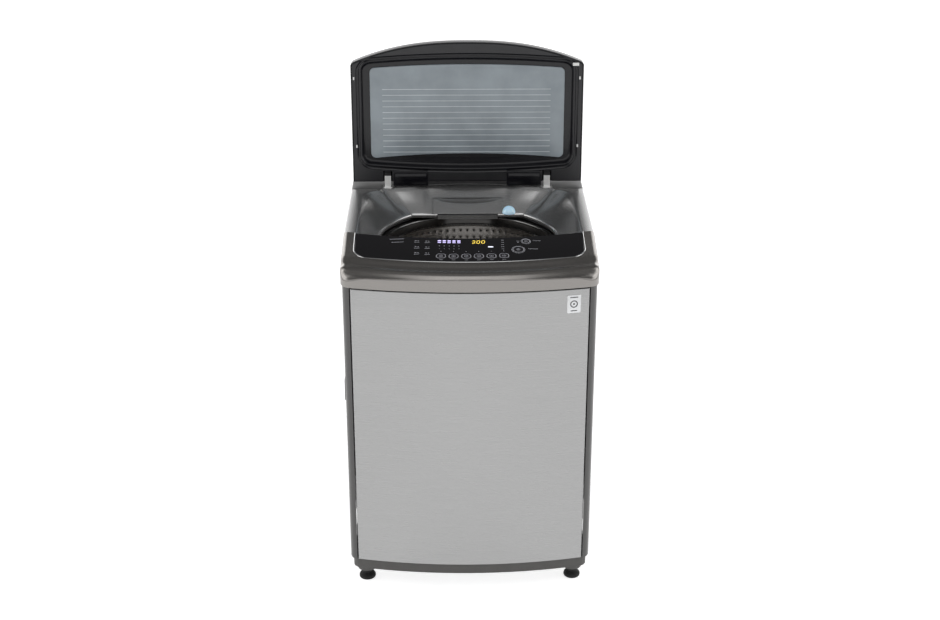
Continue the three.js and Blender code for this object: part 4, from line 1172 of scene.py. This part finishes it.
# ---------------------------------------------------------------- front panel, drum and pulsator
def front_panel():
    """A bowed sheet whose side edges turn in and whose ends are rolled."""
    half = PANEL_HIGH.x
    radius = FRONT_BOW_R - 4
    centre_y = PANEL_LOW.y + radius
    roll = 3.2
    span = math.asin((half - roll) / radius)
    front = arc(0, centre_y, radius, 1.5 * math.pi - span, 1.5 * math.pi + span, 110)
    end_x, end_y = front[-1]
    corner = arc(end_x, end_y + roll, roll, 1.5 * math.pi + span, 2 * math.pi, 6)[1:]
    side = [(half - 0.02, end_y + roll + 4 + 5 * k) for k in range(3)]
    path = [(-x, y) for x, y in reversed(side)] + [(-x, y) for x, y in reversed(corner)] + front + corner + side
    low, high = PANEL_LOW.z, PANEL_HIGH.z
    heights = [(low + 2.6, 9), (low + 0.4, 7), (low, 3), (low + 0.35, 1.1), (low + 1.3, 0.25), (low + 2.6, 0)]
    heights += [(low + 2.6 + (high - low - 5.2) * k / 12, 0) for k in range(1, 12)]
    heights += [(high - 2.6, 0), (high - 1.3, 0.25), (high - 0.35, 1.1), (high, 3), (high - 0.4, 7),
                (high - 2.6, 9)]

    def inward(distance):
        made = []
        for k, (x, y) in enumerate(path):
            ax, ay = path[max(k - 1, 0)]
            bx, by = path[min(k + 1, len(path) - 1)]
            normal = Vector((ay - by, bx - ax)).normalized()
            made.append((x + normal.x * distance, y + normal.y * distance))
        return made

    rings = [[(x, y, z) for x, y in inward(distance)] for z, distance in heights]
    piece = make("front_panel_fine", [(loft(rings, False), STAINLESS)], "cabinet",
                 ["front_panel"], 50)
    thick = piece.modifiers.new("sheet", "SOLIDIFY")
    thick.thickness = 0.8 * MM
    thick.offset = -1
    settle(piece, 50)


def drum():
    """The basket's wall with its rows of holes, its floor, and embossed rings."""
    inner, columns, rows = DRUM_HIGH.x - 0.95, 90, 26
    low, high = DRUM_LOW.z + 26, DRUM_HIGH.z - 16
    hole = 2.6
    points, faces = [], []

    def at(angle, z, depth=0.0):
        radius = inner - depth
        return radius * math.cos(angle), TUB_Y + radius * math.sin(angle), z

    width, height = 2 * math.pi / columns, (high - low) / rows
    for c in range(columns):
        for r in range(rows):
            middle = (c + 0.5 + 0.0 * r) * width
            z = low + (r + 0.5) * height
            start = len(points)
            square = [(-0.5, -0.5), (0, -0.5), (0.5, -0.5), (0.5, 0),
                      (0.5, 0.5), (0, 0.5), (-0.5, 0.5), (-0.5, 0)]
            points.extend(at(middle + dx * width, z + dz * height) for dx, dz in square)
            for k in range(8):
                a = math.radians(225 + 45 * k)
                points.append(at(middle + hole * 1.9 * math.cos(a) / inner, z + hole * 1.9 * math.sin(a), 0.0))
            for k in range(8):
                a = math.radians(225 + 45 * k)
                points.append(at(middle + hole * math.cos(a) / inner, z + hole * math.sin(a), -0.5))
            for k in range(8):
                j = (k + 1) % 8
                faces.append((start + k, start + j, start + 8 + j, start + 8 + k))
                faces.append((start + 8 + k, start + 8 + j, start + 16 + j, start + 16 + k))
    around = 2 * columns
    angles = [2 * math.pi * k / around for k in range(around)]
    upper = [[at(a, z, depth) for a in angles] for z, depth in
             ((high, 0), (high + 5, 0), (high + 8, 1.2), (high + 11, 0), (DRUM_HIGH.z - 0.1, 0))]
    lower = [[at(a, z, depth) for a in angles] for z, depth in
             ((low, 0), (low - 8, 0), (low - 13, 1.2), (low - 17, 0.2), (DRUM_LOW.z + 5, 1.2),
              (DRUM_LOW.z + 1.6, 4.5), (DRUM_LOW.z + 1.1, 9), (DRUM_LOW.z + 1.1, 60), (DRUM_LOW.z + 1.1, 236))]
    parts = [((points, faces), DRUM_STEEL), (loft(upper), DRUM_STEEL), (loft(lower), DRUM_STEEL)]
    piece = make("basket_drum_fine", parts, "basket", ["basket_drum"], 40)
    work = bmesh.new()
    work.from_mesh(piece.data)
    bmesh.ops.remove_doubles(work, verts=work.verts[:], dist=1e-5)
    bmesh.ops.recalc_face_normals(work, faces=work.faces[:])
    work.to_mesh(piece.data)
    work.free()
    thick = piece.modifiers.new("sheet", "SOLIDIFY")
    thick.thickness = 0.7 * MM
    thick.offset = 0
    settle(piece, 40)


def balance_ring():
    low, high = RING_LOW.z, RING_HIGH.z
    outer, inner = RING_HIGH.x, 226
    teeth, per_tooth = 150, 4
    steps = teeth * per_tooth
    profile = [(inner + 5, low), (outer - 3, low), (outer - 0.5, low + 3), (outer, low + 8),
               (outer, high - 8), (outer - 2, high - 3), (outer - 7, high - 0.4), (outer - 10, high),
               (outer - 12, high - 1.2), (outer - 14, high), (inner + 8, high), (inner + 4, high - 0.6),
               (inner + 1.4, high - 2.2), (inner + 0.3, high - 4.6), (inner, high - 8), (inner, low + 9),
               (inner + 0.2, low + 7), (inner + 0.6, low + 5.6)]
    rings = []
    for radius, z in profile:
        rings.append([(radius, z)] * steps)
    for depth, z in ((0.2, low + 5.2), (0.2, low + 1.4), (1.6, low + 0.5)):
        rings.append([(inner + depth + (2.6 if k % per_tooth in (0, 1) else 0), z) for k in range(steps)])
    solid = []
    for ring in rings:
        made = []
        for k, (radius, z) in enumerate(ring):
            a = 2 * math.pi * k / steps
            made.append((radius * math.cos(a), TUB_Y + radius * math.sin(a), z))
        solid.append(made)
    make("balance_ring_fine", [(loft(solid, True, True), RING)], "basket", ["balance_ring"])


def tub_cover():
    board_gap = 0.4     # keeps it off the control board when the tub is at its highest
    low, high = TUB_COVER_LOW.z, TUB_COVER_HIGH.z - board_gap
    outer = TUB_COVER_HIGH.x
    profile = [(outer - 4, low), (outer - 0.6, low), (outer, low + 1), (outer, high - 9), (outer - 2.2, high - 4),
               (outer - 8, high - 0.4), (outer - 12, high), (262, high), (260, high - 0.8), (258, high),
               (238, high), (236.4, high - 0.6), (236, high - 1.6), (236.4, high - 2.7), (238, high - 3),
               (outer - 10, high - 3), (outer - 4, high - 10)]
    # Black plastic, dark also to stand in for the shade in the gap under the bowl's lip: partly painted shade.
    parts = [(lathe(0, TUB_Y, profile, 180), DARK)]
    for k in range(12):
        a = math.radians(15 + 30 * k)
        x, y = 247 * math.cos(a), TUB_Y + 247 * math.sin(a)
        head = [(0, high - 0.6), (4.2, high - 0.6), (4.2, high + 0.9), (3.4, high + 1.6), (1.4, high + 1.8),
                (1.2, high + 0.9), (0, high + 0.9)]
        parts.append((lathe(x, y, head, 20, False), ZINC))
    make("tub_cover_fine", parts, "tub", ["tub_cover"])


def pulsator():
    """A moulded dish with six swept fins that run smoothly out of it."""
    base = through([(0, 296), (14, 295), (30, 291), (60, 276), (90, 263), (130, 259.5),
                    (160, 258.5), (168, 256)])
    rise = through([(0, 0), (36, 0), (52, 9), (80, 15.5), (110, 16.5), (140, 12), (156, 2), (162, 0)])
    steps, fins = 216, 6

    def top(radius, angle):
        swirl = angle + 0.0032 * (radius - 60)
        phase = (swirl * fins / (2 * math.pi)) % 1 - 0.5
        off = phase * 2 * math.pi / fins * max(radius, 1)
        return base(radius) + rise(radius) * math.exp(-(off / 10.5) ** 2)

    rings = []
    for radius in [0, 4, 9, 14, 20, 26, 32, 38, 44, 50] + list(range(56, 166, 5)) + [166, 168]:
        ring = []
        for k in range(steps):
            a = 2 * math.pi * k / steps
            ring.append((radius * math.cos(a), TUB_Y + radius * math.sin(a), top(radius, a)))
        rings.append(ring)
    outer, low = PULSATOR_HIGH.x, PULSATOR_LOW.z
    for radius, z in ((outer - 2.4, 255), (outer - 0.6, 253.4), (outer - 0.2, 251), (outer - 2, 247.4),
                      (outer - 5, 246.2), (158, 249.6), (90, 256), (60, 262), (30, 264), (26, low), (13, low),
                      (13, 262), (0, 262)):
        angles = [2 * math.pi * k / steps for k in range(steps)]
        rings.append([(radius * math.cos(a), TUB_Y + radius * math.sin(a), z) for a in angles])
    cap = [(0, 294), (19, 294), (20, 293.4), (20, 292), (17, 295.4), (9, 296), (0, 296)]
    parts = [(loft(rings), WHITE), (lathe(0, TUB_Y, [(r, z) for r, z in cap], 48, False), ZINC)]
    make("pulsator_fine", parts, "pulsator", ["pulsator"])


# ---------------------------------------------------------------- feet, badge, back
def feet():
    for node in [n for n in frame["nodes"] if n.startswith("levelling_foot_")]:
        low, high = box_mm(node)
        x, y = (low.x + high.x) / 2, (low.y + high.y) / 2
        sole = [(0, 0), (20.4, 0), (21, 0.6), (21.8, 3), (21.4, 4.4), (21.8, 5.6), (21.2, 8), (20, 10),
                (13, 14.6), (12, 15.6), (12, 21.4), (11.4, 22), (5, 22)]
        thread = []
        for k in range(26):
            z = 23 + 2 * k
            thread += [(4.6, z), (5, z + 1)]
        parts = [(lathe(x, y, sole + thread + [(4.4, high.z), (0, high.z)], 40, False), RUBBER)]
        make(node + "_fine", parts, node, [node])


def badge():
    """A plain badge with an abstract mark, following the bowed front."""
    low, high = box_mm("front_badge")
    x, z = (low.x + high.x) / 2, (low.z + high.z) / 2
    radius = FRONT_BOW_R - 4
    centre_y = PANEL_LOW.y + radius

    def wrap(shape):
        points, faces = shape
        return [(x + px, centre_y - math.sqrt((radius + pz) ** 2 - (x + px) ** 2), z + py)
                for px, py, pz in points], faces

    plate = prism(rounded_bar(0, 0, 33.6, 46.6, 2.2, 5), 0.3, 0.85, 0.3, 2)
    parts = [(wrap(plate), BADGE)]
    ring = arc(0, 0, 9.5, 0, 2 * math.pi * 47 / 48, 47)
    parts.append((wrap(frame_line(ring, 2.6, 0.6, 0.9)), INK_AND_SLIT_SHADE))
    parts.append((wrap(prism(arc(0, 0, 2.4, 0, 2 * math.pi * 23 / 24, 23), 0.6, 0.9)), INK_AND_SLIT_SHADE))
    for y, width in ((17.5, 20), (-17.5, 16)):
        parts.append((wrap(prism(rounded_bar(0, y, width, 2.4, 1.1, 4), 0.6, 0.9)), INK_AND_SLIT_SHADE))
    make("front_badge_fine", parts, "cabinet", ["front_badge"])


def back_details():
    """Threads on the inlet spigots and screws on the rear panels."""
    _, valve_high = box_mm("water_inlet_valve")
    rear_low, rear_high = box_mm("rear_cover")
    threads = []
    for x in (180, 250):
        profile = [(11.6, 0)]
        for k in range(6):
            rise = 2.2 * k
            profile += [(12.0, 0.6 + rise), (12.9, 1.4 + rise), (12.9, 1.9 + rise), (12.0, 2.7 + rise)]
        profile += [(9.6, 14.2), (9.6, 0)]
        threads.append((turned_to_y(lathe(0, 0, profile, 48), x, valve_high.y - 14.4, 887), WHITE))
        mesh_rings = []
        for radius in (2.2, 4.6, 7.0):
            ring = [(radius, 0), (radius + 0.7, 0), (radius + 0.7, 0.8), (radius, 0.8)]
            mesh_rings.append(turned_to_y(lathe(0, 0, ring, 32), x, valve_high.y - 9, 887))
        threads += [(shape, BASE) for shape in mesh_rings]
    make("inlet_threads", threads, "cabinet")
    screws = []
    head = [(0, 0), (3.8, 0), (3.8, 1.2), (3.0, 2.0), (1.3, 2.2), (1.1, 1.2), (0, 1.2)]
    for x in (-212, -70, 70, 212):
        for z in (rear_low.z + 8, rear_high.z - 8):
            screws.append((turned_to_y(lathe(0, 0, head, 20, False), x, rear_low.y + 2, z), ZINC))
    for z in (330, 510):
        for x in (-212, 212):
            screws.append((turned_to_y(lathe(0, 0, head, 20, False), x, rear_low.y + 2, z), ZINC))
    make("rear_screws", screws, "cabinet")


def drawer():
    """The detergent drawer, with a finger scoop along the top of its sloping front."""
    depth = 11
    body = refined("dispenser_drawer", SILVER)
    wedge = [(x, y, z) for x in (-100, 100) for y, z in ((150, 860), (wall_y(860) + depth, 860),
                                                         (wall_y(900) + depth, 900), (150, 900))]
    faces = [(0, 1, 2, 3), (7, 6, 5, 4), (0, 4, 5, 1), (1, 5, 6, 2), (2, 6, 7, 3), (3, 7, 4, 0)]
    carve(body, [(wedge, faces)])
    half, low, high, rows, columns = 94, 868, 897, 34, 94
    scoop_half, scoop_drop, scoop_depth = 88, 10.6, 8
    rings = []
    for r in range(rows + 1):
        z = low + (high - low) * r / rows
        ring = []
        for c in range(columns + 1):
            x = -half + 2 * half * c / columns
            inside = 1 - (x / scoop_half) ** 2 - ((high - z) / scoop_drop) ** 2
            y = wall_y(z) + (scoop_depth * inside ** 0.8 if inside > 0 else 0)
            if r == 0 or r == rows or c == 0 or c == columns:
                y += 0.5
            ring.append((x, y, z))
        back = wall_y(z) + depth + 0.2
        rings.append(ring + [(half, back, z), (-half, back, z)])
    parts = [(loft(rings, caps=True), SILVER)]
    # Dark patches stand for the slits in the scoop: painted shade, not openings.
    for x in (-48, -40, -32, 25, 33, 41):
        z = high - 3.2
        inside = 1 - (x / scoop_half) ** 2 - ((high - z) / scoop_drop) ** 2
        y = wall_y(z) + scoop_depth * inside ** 0.8
        slit_shade = soft_box(x - 2.6, x + 2.6, y - 0.3, y + 1.2, z - 0.9, z + 0.9, 0.25, 1)
        parts.append((slit_shade, INK_AND_SLIT_SHADE))
    make("drawer_front", parts, "dispenser_drawer")


def lamp_lens():
    lens_x = (LENS_LOW.x + LENS_HIGH.x) / 2
    make("tub_lamp_lens_fine", [(ball(lens_x, 197, OPENING_Z + 3, 18, OPENING_Z + 2), LENS)], "cabinet",
         ["tub_lamp_lens"])


def carried_over():
    """CAD pieces whose shape is right, smooth shaded and with their own material."""
    plain = {
        "cabinet_shell": (CABINET, "cabinet_paint", 0), "base_frame": (BASE, "base_plastic", 0),
        "rear_cover": (CABINET, "cabinet_paint", 0.3), "hose_hook": (DARK, "dark_plastic", 0.8),
        "dispenser_housing": (SILVER, "silver_plastic", 0), "lid_switch": (WHITE, "white_plastic", 1),
        "water_inlet_valve": (WHITE, "white_plastic", 0), "drain_pump": (DARK, "dark_plastic", 0),
        "drain_outlet": (DARK, "dark_plastic", 0), "cord_gland": (DARK, "dark_plastic", 0),
        "outer_tub": (TUB, "tub_plastic", 0), "lint_filter": (WHITE, "white_plastic", 0),
        "control_board": (BOARD, "board_green", 0), "basket_hub": (CAST, "cast_aluminium", 0),
        "bearing_housing": (CAST, "cast_aluminium", 0), "stator": (CAST, "cast_aluminium", 0),
        "rotor": (ZINC, "zinc_steel", 0), "drive_shaft": (GROUND_STEEL, "shaft_steel", 0),
        "drain_sleeve": (RUBBER, "rubber", 0),
    }
    for side in ("left", "right"):
        plain[f"hinge_bracket_{side}"] = (ZINC, "zinc_steel", 0)
        plain[f"hinge_pin_{side}"] = (GROUND_STEEL, "shaft_steel", 0)
        for end in ("front", "rear"):
            plain[f"suspension_rod_{end}_{side}"] = (ZINC, "zinc_steel", 0)
    for node, (look, slot, edge) in plain.items():
        refined(node, look, edge)


# ---------------------------------------------------------------- stage, light and camera
def softbox(name, place, target, width, height, power, colour=(1, 1, 1)):
    light = bpy.data.lights.new(name, "AREA")
    light.shape = "RECTANGLE"
    light.size = width
    light.size_y = height
    light.energy = power
    light.color = colour
    lamp = bpy.data.objects.new(name, light)
    lamp.location = place
    aim = Vector(target) - Vector(place)
    lamp.rotation_euler = aim.to_track_quat("-Z", "Y").to_euler()
    lamp.visible_camera = False
    SCENE.collection.objects.link(lamp)


def eased(tree, source, from_low, from_high, to_low, to_high):
    """A value that runs smoothly from to_low to to_high."""
    made = tree.nodes.new("ShaderNodeMapRange")
    made.interpolation_type = "SMOOTHSTEP"
    for socket, value in (("From Min", from_low), ("From Max", from_high),
                          ("To Min", to_low), ("To Max", to_high)):
        made.inputs[socket].default_value = value
    tree.links.new(source, made.inputs["Value"])
    return made.outputs["Result"]


def worked(tree, operation, *terms):
    """The result of a sum on values and outputs of other nodes."""
    made = tree.nodes.new("ShaderNodeMath")
    made.operation = operation
    for k, term in enumerate(terms):
        if isinstance(term, (int, float)):
            made.inputs[k].default_value = term
        else:
            tree.links.new(term, made.inputs[k])
    return made.outputs["Value"]


# Bright areas of the studio: direction, half angles at which they are full and gone, brightness.
PANELS = [((-0.50, 0.80, 0.34), 12, 25, 2.1), ((0.50, 0.80, 0.34), 12, 25, 1.9),
          ((-0.98, 0.0, 0.22), 14, 34, 1.8), ((0.98, 0.0, 0.22), 14, 34, 1.8),
          ((0.0, -0.62, 0.78), 8, 22, 1.5), ((0.0, -0.97, 0.22), 16, 36, 0.3)]


def studio():
    """Dark surroundings with soft bright panels, and an evenly pale floor."""
    world = bpy.data.worlds.new("studio")
    SCENE.world = world
    world.use_nodes = True
    tree = world.node_tree
    direction = tree.nodes.new("ShaderNodeTexCoord").outputs["Generated"]
    parts = tree.nodes.new("ShaderNodeSeparateXYZ")
    tree.links.new(direction, parts.inputs["Vector"])
    total = eased(tree, parts.outputs["Z"], -0.02, 0.30, 1.0, 0.13)
    for aim, full, gone, brightness in PANELS:
        dot = tree.nodes.new("ShaderNodeVectorMath")
        dot.operation = "DOT_PRODUCT"
        dot.inputs[1].default_value = Vector(aim).normalized()
        tree.links.new(direction, dot.inputs[0])
        near, far = math.cos(math.radians(full)), math.cos(math.radians(gone))
        total = worked(tree, "ADD", total, eased(tree, dot.outputs["Value"], far, near, 0, brightness))
    tree.links.new(total, tree.nodes["Background"].inputs["Strength"])
    tree.nodes["Background"].inputs["Color"].default_value = (1, 1, 1, 1)

    floor_mesh = bpy.data.meshes.new("floor")
    reach = 40
    corners = [(-reach, -reach, 0), (reach, -reach, 0), (reach, reach, 0), (-reach, reach, 0)]
    floor_mesh.from_pydata(corners, [], [(0, 1, 2, 3)])
    look = Look("floor_pale", 0.7, Specular_IOR_Level=0.1)
    look.colours(look.noise(3, 3), (0.82, 0.82, 0.82), (0.86, 0.86, 0.86))
    look.set("Emission Color", (1, 1, 1, 1))
    look.set("Emission Strength", 0.75)
    floor_mesh.materials.append(look.material)
    floor = bpy.data.objects.new("floor", floor_mesh)
    SCENE.collection.objects.link(floor)

    softbox("side_left", (-2.4, -0.6, 2.6), (0, 0, 0.8), 1.2, 1.8, 8)
    softbox("side_right", (2.4, -0.6, 2.6), (0, 0, 0.8), 1.2, 1.8, 8)
    softbox("above", (0, -0.4, 3.4), (0, 0, 0.9), 1.8, 1.8, 1.2)
    softbox("basket_glow", (0, -0.12, 0.66), (0, 0.3, 0.78), 0.3, 0.12, 0.035)
    SCENE.view_settings.view_transform = "Standard"


def camera():
    data = bpy.data.cameras.new("camera")
    data.sensor_width = 36
    data.lens = 59.25
    view = bpy.data.objects.new("camera", data)
    view.location = (-0.044, -3.772, 2.266)
    view.rotation_euler = (math.radians(90 - 23), 0, -0.0127)
    SCENE.collection.objects.link(view)
    SCENE.camera = view


camera()
studio()
top_cover()
control_fascia()
control_glass()
buttons()
panel_print()
lid_frame()
lid_plate()
lid_shell()
hinge_covers()
hinge_arms()
front_panel()
drum()
balance_ring()
tub_cover()
pulsator()
feet()
badge()
back_details()
drawer()
lamp_lens()
carried_over()
